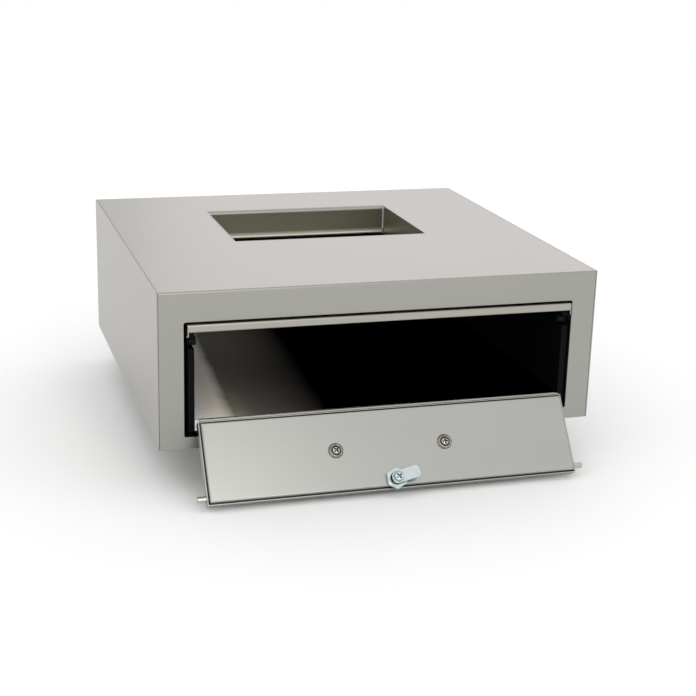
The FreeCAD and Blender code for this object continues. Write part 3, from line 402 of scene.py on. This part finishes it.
def on_both_sides(node, sizes, turn=0.0):
    """Sets of fasteners that face outwards on the left and on the right, each left as it was
    driven, a little further round than the one before."""
    sets = []
    for sign in (-1, 1):
        facing = (sign, 0, 0)
        points = [point for point in crowns(node, facing) if point.x * sign > 0]
        turns = [turn + 0.6 * index for index in range(len(points))]
        sets.append((facing, points, sizes, turns))
    return sets


def screw_sizes(shank, length):
    """The sizes of a pan-head screw of a given shank radius."""
    head, rise = shank * 1.95, shank * 1.05
    arm_width, arm_length, arm_depth = shank * 0.42, shank * 2.1, shank * 1.5
    return {"Head Size": (head, head, rise), "Shank Size": (shank, shank, length),
            "Slot Size": (arm_width, arm_length, arm_depth)}


nickel = plated("nickel_plating", "#ADA89E", "#C9C5BC", 0.2)
# Painted shade: the buffers' screws are black so that they read as the shade they sit in.
black_for_shade = plated("black_painted_shade", "#0B0B0B", "#191918", 0.45)
cross_screw = fastener_tree("cross_head_screw", crossed=True)
back = (0, 1, 0)
back_screw = screw_sizes(shank=2.0 * mm, length=7.4 * mm)
as_driven = [0.3, 1.1, 0.7, 0.1, 0.9, 0.5]
fasten("back_screws", cross_screw, nickel, [
    (back, crowns("back_screws", back), back_screw, as_driven)])
rail_screw = screw_sizes(shank=2.0 * mm, length=2.2 * mm)
fasten("drawer_rail_screws", cross_screw, nickel,
       on_both_sides("drawer_rail_screws", rail_screw, turn=0.4))
buffer_screw = screw_sizes(shank=1.5 * mm, length=6.7 * mm)
fasten("buffer_screws", cross_screw, black_for_shade,
       on_both_sides("buffer_screws", buffer_screw, turn=0.2))

# ---------------------------------------------------------------- rivets
# Plain stainless blind rivets, domed by the rivet gun, in the drawer's back, its top rail and
# the hinge. Those of the slides have flush heads, and are left as they are pressed.
rivet_edge = 0.08 * mm


def rivet_sizes(shank, grip):
    """The sizes of a blind rivet of a given shank radius."""
    head, rise, tail = shank * 1.8, shank * 0.5, shank * 1.4
    return {"Head Size": (head, head, rise), "Shank Size": (shank, shank, grip),
            "Tail Size": (tail, tail, rise)}


bright_steel = plated("plain_stainless_rivets", "#A2A19D", "#BBBAB5", 0.28)
dome_rivet = fastener_tree("dome_head_rivet", crossed=False)
thin_rivet = rivet_sizes(shank=1.2 * mm, grip=2.2 * mm)
thick_rivet = rivet_sizes(shank=1.6 * mm, grip=2.4 * mm)
fasten("drawer_back_rivets", dome_rivet, bright_steel,
       on_both_sides("drawer_back_rivets", thick_rivet), edge=rivet_edge)
fasten("top_rail_rivets", dome_rivet, bright_steel,
       on_both_sides("top_rail_rivets", thin_rivet), edge=rivet_edge)
front = (0, -1, 0)
fasten("hinge_rivets_drawer", dome_rivet, bright_steel, [
    (front, crowns("hinge_rivets_drawer", front), thin_rivet, None)], edge=rivet_edge)
dress("slide_rivets", bright_steel, edge=0.1 * mm)

# ---------------------------------------------------------------- collar in the slot
# Four strips of stainless welded into the slot, the long ones with a rolled foot and a lip that
# is ground flush with the casing. Below the lip they are painted darker and browner, as painted
# shade, and the foot is painted lighter.
def blend_band(material, axis, unchanged_at, changed_at, colour):
    """Blends a steel's colour towards another, from one place along an axis to another."""
    tree = material.node_tree
    steel = next(node for node in tree.nodes if node.type == "BSDF_PRINCIPLED")
    ground = steel.inputs["Base Color"].links[0].from_socket
    place = add_node(tree, "ShaderNodeTexCoord")
    spot = add_node(tree, "ShaderNodeSeparateXYZ", {0: place.outputs["Object"]})
    share = add_node(tree, "ShaderNodeMapRange", {
        "Value": spot.outputs[axis], "From Min": unchanged_at, "From Max": changed_at})
    colours = add_node(tree, "ShaderNodeMix", {
        0: share.outputs[0], 6: ground, 7: linear(colour)}, data_type="RGBA")
    tree.links.new(colours.outputs[2], steel.inputs["Base Color"])


collar_low, collar_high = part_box("slot_collar")
collar_end = collar_high[0] - sheet_thickness
below_lip, fully_painted_shade = 154.5 * mm, 152.0 * mm
above_foot, foot = 131.0 * mm, 128.5 * mm
collar_steel = ground_steel("ground_stainless_collar", "#9A9A95", "#A6A59F", 0.36, "X")
# Painted shade: darker and browner below the lip.
blend_band(collar_steel, "Z", below_lip, fully_painted_shade, "#7F7C6B")
# Lighter at the foot.
blend_band(collar_steel, "Z", above_foot, foot, "#C4C1B4")
blend_band(collar_steel, "X", collar_end - 0.2 * mm, collar_end - 0.1 * mm, "#ACA99B")
dress("slot_collar", collar_steel, edge=0.2 * mm, clamp=True)

# ---------------------------------------------------------------- weld beads in the collar
# A TIG weld runs down each inner corner of the collar: small overlapping drops of steel, faintly
# blue and painted pale so that they stay bright, as painted light, one every millimetre.
lip_reach = 6.0 * mm
first_drop = 1.8 * mm
drop_radius = 1.5 * mm
drop_step = 1.0 * mm
drop_count = 27


def bead_tree():
    """A run of overlapping drops down from each place, each a little flattened."""
    flattened = (1.0, 1.0, 0.8)
    tree, given = open_tree("weld_bead", {
        "Drops": "Int", "Drop Radius": "Float", "Step": "Vector"}, "Bead")
    run = add_node(tree, "GeometryNodeMeshLine", {
        "Count": given["Drops"], "Offset": given["Step"]})
    ball = add_node(tree, "GeometryNodeMeshUVSphere", {
        "Segments": 12, "Rings": 8, "Radius": given["Drop Radius"]})
    drop = add_node(tree, "GeometryNodeTransform", {
        "Geometry": ball.outputs["Mesh"], "Scale": flattened})
    bead = add_node(tree, "GeometryNodeInstanceOnPoints", {
        "Points": run.outputs["Mesh"], "Instance": drop.outputs[0]})
    close_tree(tree, given, "Bead", bead.outputs[0])
    return tree


# Painted light: the weld's colour is pale so that it looks bright whatever it reflects.
weld_steel_painted_bright = plated("heat_tinted_weld_painted_bright", "#BFC8CC", "#E2E9EC", 0.5, spread=2 * mm, hollow_shade="#A9B0B3")
corners = [(sign * collar_end, y, collar_high[2] - first_drop) for sign in (-1, 1)
           for y in (collar_low[1] + lip_reach, collar_high[1] - lip_reach)]
bead = grown("collar_weld_beads", corners, bead_tree(), {
    "Drops": drop_count, "Drop Radius": drop_radius, "Step": (0, 0, -drop_step),
    "Finish": weld_steel_painted_bright})
shade_smooth(bead)
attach(bead, frame["nodes"]["slot_collar"]["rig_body"])

# ---------------------------------------------------------------- drawer tray and back
# The drawer's box is sheet steel folded up at both sides, with a fine-textured black powder coat
# baked on. Its back is a separate panel with flanges riveted to the sides, and is dustier.
def powder_coat(name, dark, light):
    """Baked black powder, matt and slightly pebbled. The pebbles are drawn 1.3 mm wide, about
    twice as wide as real, so that they show."""
    pebble, pebble_height = 1.3 * mm, 0.12 * mm
    material, tree, place = bare_material(name)
    pebbles = add_node(tree, "ShaderNodeTexNoise", {
        "Vector": place, "Scale": 1 / pebble, "Detail": 4.0, "Roughness": 0.65})
    tint = add_node(tree, "ShaderNodeMix", {
        0: pebbles.outputs["Fac"], 6: linear(dark), 7: linear(light)}, data_type="RGBA")
    rough = add_node(tree, "ShaderNodeMapRange", {
        "Value": pebbles.outputs["Fac"], "To Min": 0.5, "To Max": 0.75})
    bump = add_node(tree, "ShaderNodeBump", {
        "Height": pebbles.outputs["Fac"], "Strength": 0.8, "Distance": pebble_height})
    coat = add_node(tree, "ShaderNodeBsdfPrincipled", {
        "Base Color": tint.outputs[2], "Roughness": rough.outputs[0],
        "Normal": bump.outputs[0], "Specular IOR Level": 0.08})
    add_node(tree, "ShaderNodeOutputMaterial", {"Surface": coat.outputs[0]})
    return material


dress("drawer_tray", powder_coat("black_powder_coat", "#030505", "#080B0C"))
dress("drawer_back", powder_coat("dusty_black_powder_coat", "#161816", "#242722"))

# ---------------------------------------------------------------- drawer floor
# A stainless liner, ground across and then polished by papers. Its steel is painted near black,
# with a dark edge tint, from about 95 mm left of the middle to the right wall, as painted shade.
# A strip along its left wall, which the papers don't reach, is pale with dust and painted
# highlight, and warmer inward of the wall as a painted streak of light. The places below are
# across the floor, from its middle at 0 to the left wall at about -175 mm.
dust_and_light_film_from, dust_and_light_film_to = -40 * mm, -150 * mm
dull_from, dull_to = -128 * mm, -146 * mm
painted_shade_from, painted_shade_to = -150 * mm, -95 * mm
warm_streak_from, warm_streak_to = -172 * mm, -160 * mm
strip_slant = -0.06
raggedness = 6 * mm


def worn_floor():
    """Steel polished to a soft mirror and painted near black with a dark edge tint, as painted
    shade, under a matt strip of dust and painted highlight whose edge is ragged. The ground lines
    are drawn 0.7 mm apart, coarser than real, so that they show."""
    grain, run, line_depth, smudge = 0.7 * mm, 70 * mm, 0.004 * mm, 60 * mm
    material, tree, place = bare_material("polished_stainless_floor")
    lines = ground_lines(tree, place, "X", grain, run)
    smudges = add_node(tree, "ShaderNodeTexNoise", {
        "Vector": place, "Scale": 1 / smudge, "Detail": 3.0, "Distortion": 1.5})
    spot = add_node(tree, "ShaderNodeSeparateXYZ", {0: place})
    drift = add_node(tree, "ShaderNodeMath", {
        0: spot.outputs["Y"], 1: strip_slant, 2: spot.outputs["X"]}, operation="MULTIPLY_ADD")
    ragged = add_node(tree, "ShaderNodeMath", {
        0: smudges.outputs["Fac"], 1: raggedness, 2: drift.outputs[0]},
        operation="MULTIPLY_ADD")
    dull = add_node(tree, "ShaderNodeMapRange", {
        "Value": ragged.outputs[0], "From Min": dull_from, "From Max": dull_to},
        interpolation_type="SMOOTHSTEP")
    dust_and_light_film = add_node(tree, "ShaderNodeMapRange", {
        "Value": ragged.outputs[0], "From Min": dust_and_light_film_from, "From Max": dust_and_light_film_to, "To Max": 0.2})
    dust_and_highlight_share = add_node(tree, "ShaderNodeMath", {
        0: dull.outputs[0], 1: dust_and_light_film.outputs[0]}, operation="MAXIMUM")
    # Painted shade: near black from about -95 mm across to the right, light only under the strip.
    painted_shade_share = add_node(tree, "ShaderNodeMapRange", {
        "Value": ragged.outputs[0], "From Min": painted_shade_from, "From Max": painted_shade_to})
    # Painted highlight: a warm streak in the pale strip, inward of the wall.
    painted_warm_streak = add_node(tree, "ShaderNodeMapRange", {
        "Value": ragged.outputs[0], "From Min": warm_streak_from, "From Max": warm_streak_to},
        interpolation_type="SMOOTHSTEP")
    tint = add_node(tree, "ShaderNodeMix", {
        0: painted_shade_share.outputs[0], 6: linear("#B4B3A4"), 7: linear("#242422")}, data_type="RGBA")
    dust_and_streak_tint = add_node(tree, "ShaderNodeMix", {
        0: painted_warm_streak.outputs[0], 6: linear("#F8FBF8"), 7: linear("#FFF6E6")},
        data_type="RGBA")
    polish = add_node(tree, "ShaderNodeMapRange", {
        "Value": smudges.outputs["Fac"], "To Min": 0.07, "To Max": 0.13})
    bump = add_node(tree, "ShaderNodeBump", {
        "Height": lines, "Strength": 1.0, "Distance": line_depth})
    # Painted shade: the polished steel also has a dark edge tint.
    polished = add_node(tree, "ShaderNodeBsdfPrincipled", {
        "Base Color": tint.outputs[2], "Metallic": 1.0, "Roughness": polish.outputs[0],
        "Specular Tint": linear("#202020"), "Normal": bump.outputs[0]})
    # Dust and painted highlight: a pale matt coat along the left wall.
    dust_and_highlight_coat = add_node(tree, "ShaderNodeBsdfPrincipled", {
        "Base Color": dust_and_streak_tint.outputs[2], "Roughness": 0.5, "Sheen Weight": 1.0,
        "Sheen Roughness": 0.4, "Normal": bump.outputs[0]})
    surface = add_node(tree, "ShaderNodeMixShader", {
        0: dust_and_highlight_share.outputs[0], 1: polished.outputs[0], 2: dust_and_highlight_coat.outputs[0]})
    add_node(tree, "ShaderNodeOutputMaterial", {"Surface": surface.outputs[0]})
    return material


dress("drawer_floor", worn_floor())

# ---------------------------------------------------------------- rail across the drawer
# A narrow stainless strip, folded along its length and riveted over the tray's front edges. It
# was drawn through rollers, so that its lines run along it and are coarser than the casing's.
rail_steel = ground_steel("rolled_stainless_rail", "#9D9B93", "#AFACA4", 0.3, "X", grain=0.9 * mm)
dress("drawer_top_rail", rail_steel, edge=0.2 * mm)

# ---------------------------------------------------------------- buffers and bumpers
# Moulded black rubber. The buffers are bushes screwed behind the tray's front edges, which the
# flap's pins shut against, and the bumpers stand on the back panel, where the drawer stops.
def rubber(name):
    """Moulded rubber, half matt, with a faint grey bloom in patches 2.5 mm wide."""
    patch, patch_depth = 2.5 * mm, 0.05 * mm
    material, tree, place = bare_material(name)
    bloom = add_node(tree, "ShaderNodeTexNoise", {
        "Vector": place, "Scale": 1 / patch, "Detail": 4.0})
    tint = add_node(tree, "ShaderNodeMix", {
        0: bloom.outputs["Fac"], 6: linear("#060606"), 7: linear("#111111")}, data_type="RGBA")
    rough = add_node(tree, "ShaderNodeMapRange", {
        "Value": bloom.outputs["Fac"], "To Min": 0.45, "To Max": 0.7})
    bump = add_node(tree, "ShaderNodeBump", {
        "Height": bloom.outputs["Fac"], "Strength": 0.5, "Distance": patch_depth})
    body = add_node(tree, "ShaderNodeBsdfPrincipled", {
        "Base Color": tint.outputs[2], "Roughness": rough.outputs[0],
        "Normal": bump.outputs[0], "Specular IOR Level": 0.15})
    add_node(tree, "ShaderNodeOutputMaterial", {"Surface": body.outputs[0]})
    return material


black_rubber = rubber("moulded_black_rubber")
for node in ("buffer_left", "buffer_right", "rear_bumpers"):
    dress(node, black_rubber, edge=0.6 * mm)

# ---------------------------------------------------------------- ball slides
# Cold-rolled steel channels nested in each other, with a cage of balls between each pair. They
# are riveted to pressed spacers, and their bright zinc plating has a faint blue cast.
strip_edge = 0.12 * mm
zinc = plated("bright_zinc_plating", "#B4C0C3", "#D0D8D7", 0.26, spread=9 * mm)
for side in ("left", "right"):
    for part in ("slide_fixed_rail", "slide_middle_rail", "slide_drawer_rail",
                 "slide_outer_cage", "slide_inner_cage", "slide_spacer"):
        dress(f"{part}_{side}", zinc, edge=strip_edge)

# ---------------------------------------------------------------- piano hinge
# Two leaves of thin stainless strip, rolled round a stainless pin. One is riveted to the lip of
# the drawer's floor, and the other to the flap. They are left as they came from the rollers, and
# shine a little more than the ground sheets.
hinge_steel = ground_steel("rolled_stainless_hinge", "#9C9A92", "#B5B2A9", 0.26, "X")
for node in ("hinge_fixed_leaf", "hinge_flap_leaf", "hinge_pin"):
    dress(node, hinge_steel, edge=strip_edge)

# ---------------------------------------------------------------- flap
# Two stainless pans, one let into the other, ground finer than the casing so that they reflect
# more evenly, with a plated pin in each free corner. The flap hangs open about the hinge's pin,
# at 144 degrees from shut.
flap_steel = ground_steel("fine_ground_stainless_flap", "#A8A9A5", "#B4B4B0", 0.3, "X",
                          grain=0.35 * mm)
for node in ("flap_outer_pan", "flap_inner_cover"):
    dress(node, flap_steel)
for node in ("flap_pin_left", "flap_pin_right"):
    dress(node, nickel, edge=0.35 * mm)
open_angle = math.radians(144)
pin_low, pin_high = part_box("hinge_pin")
hinge_line = (Vector(pin_low) + Vector(pin_high)) / 2
flap_frame = (Matrix.Translation((0, hinge_line.y, hinge_line.z))
              @ Matrix.Rotation(open_angle, 4, "X"))
inward = tuple(flap_frame.to_3x3() @ Vector((0, 1, 0)))
under = tuple(flap_frame.to_3x3() @ Vector((0, 0, -1)))
flap_rivet = rivet_sizes(shank=1.2 * mm, grip=2.0 * mm)
fasten("hinge_rivets_flap", dome_rivet, bright_steel, [
    (under, crowns("hinge_rivets_flap", under), flap_rivet, None)], edge=rivet_edge)

# ---------------------------------------------------------------- pull handle
# A round steel bar bent at both ends and nickel plated, on the flap's outer face. Tubular
# spacers keep the flap's two skins apart under its screws.
for node in ("pull_handle", "handle_spacers"):
    dress(node, nickel, edge=0.15 * mm)

# ---------------------------------------------------------------- handle screws in cup washers
# Turned cup washers with a rolled rim, their nickel painted in dark and light patches that stand
# in for reflections, as painted reflection. The screws are raised ones with a cross recess, and a
# narrow dark gap runs round each inside its washer.
def lathe(profile):
    """A ring turned about Z from a closed profile of (radius, height) points in millimetres."""
    steps = 64
    form = bmesh.new()
    rings = []
    for step in range(steps):
        angle = 2 * math.pi * step / steps
        rings.append([
            form.verts.new((radius * mm * math.cos(angle), radius * mm * math.sin(angle),
                            height * mm))
            for radius, height in profile])
    for ring, following in zip(rings, rings[1:] + rings[:1]):
        for index in range(len(profile)):
            beyond = (index + 1) % len(profile)
            form.faces.new((ring[index], following[index], following[beyond], ring[beyond]))
    bmesh.ops.recalc_face_normals(form, faces=form.faces)
    return form


def merged(forms):
    """Several bmeshes in one."""
    whole = bmesh.new()
    for form in forms:
        mesh = bpy.data.meshes.new("part")
        form.to_mesh(mesh)
        form.free()
        whole.from_mesh(mesh)
        bpy.data.meshes.remove(mesh)
    return whole


# Painted reflection: near-black and pale patches stand in for dark and bright surroundings.
nickel_painted_reflections = plated("nickel_with_painted_reflections", "#24211D", "#C4BFB6", 0.12, spread=2.5 * mm)
crown_height = 3.4 * mm
cup_foot = [(3.0, 0.02), (7.3, 0.02)]
cup_rim = [(7.6, 0.25), (7.5, 0.7), (7.1, 1.3), (6.5, 1.8), (5.9, 2.1), (5.3, 2.2), (4.8, 2.0)]
cup_seat = [(4.5, 1.6), (4.35, 1.0), (3.0, 0.8)]
screw_crowns = crowns("handle_screws", inward)
cups = []
for crown in screw_crowns:
    cup = lathe(cup_foot + cup_rim + cup_seat)
    cup_place = Matrix.Translation(crown - Vector(inward) * crown_height)
    facing = Vector((0, 0, 1)).rotation_difference(Vector(inward)).to_matrix().to_4x4()
    bmesh.ops.transform(cup, matrix=cup_place @ facing, verts=cup.verts)
    cups.append(cup)
cup_piece = stand("handle_cup_washers_finished", merged(cups), nickel_painted_reflections)
shade_smooth(cup_piece)
seat(cup_piece, "handle_cup_washers")
raised_screw = {"Head Size": (3.7 * mm, 3.7 * mm, 2.2 * mm),
                "Shank Size": (2.5 * mm, 2.5 * mm, 24.0 * mm),
                "Slot Size": (1.5 * mm, 5.2 * mm, 4.2 * mm)}
fasten("handle_screws", cross_screw, nickel, [
    (inward, screw_crowns, raised_screw, [math.radians(45), math.radians(4)])])

# ---------------------------------------------------------------- cam lock
# A die-cast zinc barrel, threaded and nickel plated, goes through both pans a little left of the
# middle. Its hexagon nut, with chamfered corners, and the steel cam on the plug's end are zinc
# plated, pale and cold, with painted blue-grey shade in the hollows.
across_flats, nut_height, chamfer_radius, nut_bore = 19.0 * mm, 4.5 * mm, 9.3 * mm, 6.0 * mm


def nut_tree():
    """A hexagon nut with its corners turned off at about 30 degrees, and a round bore."""
    chamfer_slope, through = math.sqrt(3) * 0.94, 100 * mm
    tree, given = open_tree("hexagon_nut", {
        "Corner Radius": "Float", "Height": "Float", "Chamfer Radius": "Float",
        "Bore": "Float"}, "Nut")
    hexagon = add_node(tree, "GeometryNodeMeshCylinder", {
        "Vertices": 6, "Radius": given["Corner Radius"], "Depth": given["Height"]})
    swell = add_node(tree, "ShaderNodeMath", {
        0: given["Height"], 1: chamfer_slope, 2: given["Chamfer Radius"]},
        operation="MULTIPLY_ADD")
    cone = add_node(tree, "GeometryNodeMeshCone", {
        "Vertices": 64, "Radius Top": given["Chamfer Radius"],
        "Radius Bottom": swell.outputs[0], "Depth": given["Height"]})
    half = add_node(tree, "ShaderNodeMath", {0: given["Height"], 1: -0.5},
                    operation="MULTIPLY")
    foot = add_node(tree, "ShaderNodeCombineXYZ", {"Z": half.outputs[0]})
    centred = add_node(tree, "GeometryNodeTransform", {
        "Geometry": cone.outputs["Mesh"], "Translation": foot.outputs[0]})
    turned = add_node(tree, "GeometryNodeMeshBoolean", {
        "Mesh 2": [hexagon.outputs["Mesh"], centred.outputs[0]]},
        operation="INTERSECT", solver="EXACT")
    drill = add_node(tree, "GeometryNodeMeshCylinder", {
        "Vertices": 48, "Radius": given["Bore"], "Depth": through})
    bored = add_node(tree, "GeometryNodeMeshBoolean", {
        "Mesh 1": turned.outputs["Mesh"], "Mesh 2": drill.outputs["Mesh"]},
        operation="DIFFERENCE", solver="EXACT")
    close_tree(tree, given, "Nut", bored.outputs["Mesh"])
    return tree


lock_zinc = plated("zinc_plated_lock", "#B9C6C9", "#D9E1E0", 0.18, spread=5 * mm, hollow_shade="#1F3A4A")
lock_axis = Vector((-2.2, 0, 76.0)) * mm
cover_rise = 10.5 * mm
barrel_place = flap_frame @ Matrix.Translation(lock_axis) @ Matrix.Rotation(-math.pi / 2, 4, "X")
nut = grown("lock_nut_finished", [(0, 0, 0)], nut_tree(), {
    "Corner Radius": across_flats / math.sqrt(3), "Height": nut_height,
    "Chamfer Radius": chamfer_radius, "Bore": nut_bore, "Finish": lock_zinc})
nut.data.transform(barrel_place @ Matrix.Translation((0, 0, cover_rise + nut_height / 2))
                   @ Matrix.Rotation(math.pi / 2, 4, "Z"))
soften(nut, 0.12 * mm, clamp=True)
seat(nut, "lock_nut")

# The barrel's radii, and its heights above the hinge pin's level, in millimetres.
bore, mouth, root, crest, crest_edge = 4.2, 4.6, 5.5, 6.0, 5.95
flange, flange_land, flange_face, flange_back, flange_bevel = 8.5, 7.9, -5.0, -2.5, 0.5
thread_end, barrel_end, thread_pitch, thread_turns = 17.2, 18.0, 1.0, 19
thread = []
for turn in range(thread_turns):
    height = thread_end - thread_pitch * turn
    thread += [(crest, height), (crest_edge, height - 0.12), (root, height - 0.5),
               (crest_edge, height - 0.88)]
barrel_flange = [(bore, flange_face), (flange_land, flange_face),
                 (flange, flange_face + flange_bevel), (flange, flange_back),
                 (crest, flange_back)]
barrel_mouth = [(5.6, barrel_end), (mouth, barrel_end), (bore, 17.7)]
barrel = lathe(barrel_flange + thread[::-1] + barrel_mouth)
flat = 5.1 * mm
above_flange = -2.4 * mm
for vertex in barrel.verts:
    if vertex.co.z > above_flange:
        vertex.co.x = max(-flat, min(flat, vertex.co.x))
bmesh.ops.transform(barrel, matrix=barrel_place, verts=barrel.verts)
# Painted reflection: the barrel has the washers' dark and light patches.
barrel_piece = stand("lock_barrel_finished", barrel, nickel_painted_reflections)
soften(barrel_piece, 0.05 * mm, clamp=True)
seat(barrel_piece, "lock_barrel")
dress("lock_plug", nickel, edge=0.15 * mm)
dress("lock_cam", lock_zinc, edge=0.35 * mm)
dress("lock_cam_washer", lock_zinc, edge=0.15 * mm)
cam_screw = {**screw_sizes(shank=2.2 * mm, length=6.8 * mm),
             "Slot Size": (1.3 * mm, 6.4 * mm, 4.2 * mm)}
fasten("lock_cam_screw", cross_screw, lock_zinc, [
    (inward, crowns("lock_cam_screw", inward), cam_screw, [math.radians(38)])])

# ---------------------------------------------------------------- floor, light and camera
# A white paper sweep under even light. A wide soft lamp stands behind, a tall narrow one in
# front, and a small one on the left that brings out the folded edges.
floor_level = cad_box[0][2] - 1.0 * mm
reach = 12.0
sweep_mesh = bpy.data.meshes.new("paper_sweep")
sweep_mesh.from_pydata(
    [(-reach, -reach, floor_level), (reach, -reach, floor_level),
     (reach, reach, floor_level), (-reach, reach, floor_level)], [], [(0, 1, 2, 3)])
sweep = add_object("paper_sweep", sweep_mesh)
paper = bpy.data.materials.new("white_paper")
paper.use_nodes = True
sheet = paper.node_tree.nodes["Principled BSDF"]
sheet.inputs["Base Color"].default_value = linear("#FFFFFF")
sheet.inputs["Roughness"].default_value = 0.9
sheet.inputs["Specular IOR Level"].default_value = 0.0
sweep_mesh.materials.append(paper)

world = bpy.data.worlds.new("studio")
bpy.context.scene.world = world
world.use_nodes = True
world.node_tree.nodes["Background"].inputs["Color"].default_value = linear("#FFFFFF")
world.node_tree.nodes["Background"].inputs["Strength"].default_value = 1.0


def soft_lamp(name, place, target, width, height, watts, colour):
    """A rectangular lamp that is turned to a target. Places and sizes are in metres."""
    light = bpy.data.lights.new(name, "AREA")
    light.shape = "RECTANGLE"
    light.size = width
    light.size_y = height
    light.energy = watts
    light.color = linear(colour)[:3]
    lamp = add_object(name, light)
    lamp.location = place
    lamp.rotation_euler = (Vector(target) - Vector(place)).to_track_quat("-Z", "Y").to_euler()


soft_lamp("back_lamp", (1.03, 2.14, 1.16), (0, 0, 0.1),
          width=1.9, height=1.0, watts=4.3, colour="#FFEEF6")
soft_lamp("front_strip_lamp", (0.1, -1.9, 0.95), (0, -0.1, 0.05),
          width=0.3, height=1.3, watts=3.5, colour="#FFFDF6")
soft_lamp("left_lamp", (-1.9, -0.2, 0.85), (0, -0.2, 0.05),
          width=0.6, height=0.6, watts=0.7, colour="#FFFFFF")

camera_data = bpy.data.cameras.new("camera")
camera_data.lens = 75.64
camera_data.sensor_width = 36.0
camera = add_object("camera", camera_data)
eye = Vector((-0.4392, -1.5189, 0.5184))
aim = Vector((0.018, -0.037, 0.0329))
tilt = math.radians(1.57)
looking = (aim - eye).to_track_quat("-Z", "Y").to_matrix().to_4x4()
camera.matrix_world = Matrix.Translation(eye) @ looking @ Matrix.Rotation(tilt, 4, "Z")
bpy.context.scene.camera = camera
bpy.context.scene.view_settings.view_transform = "Standard"
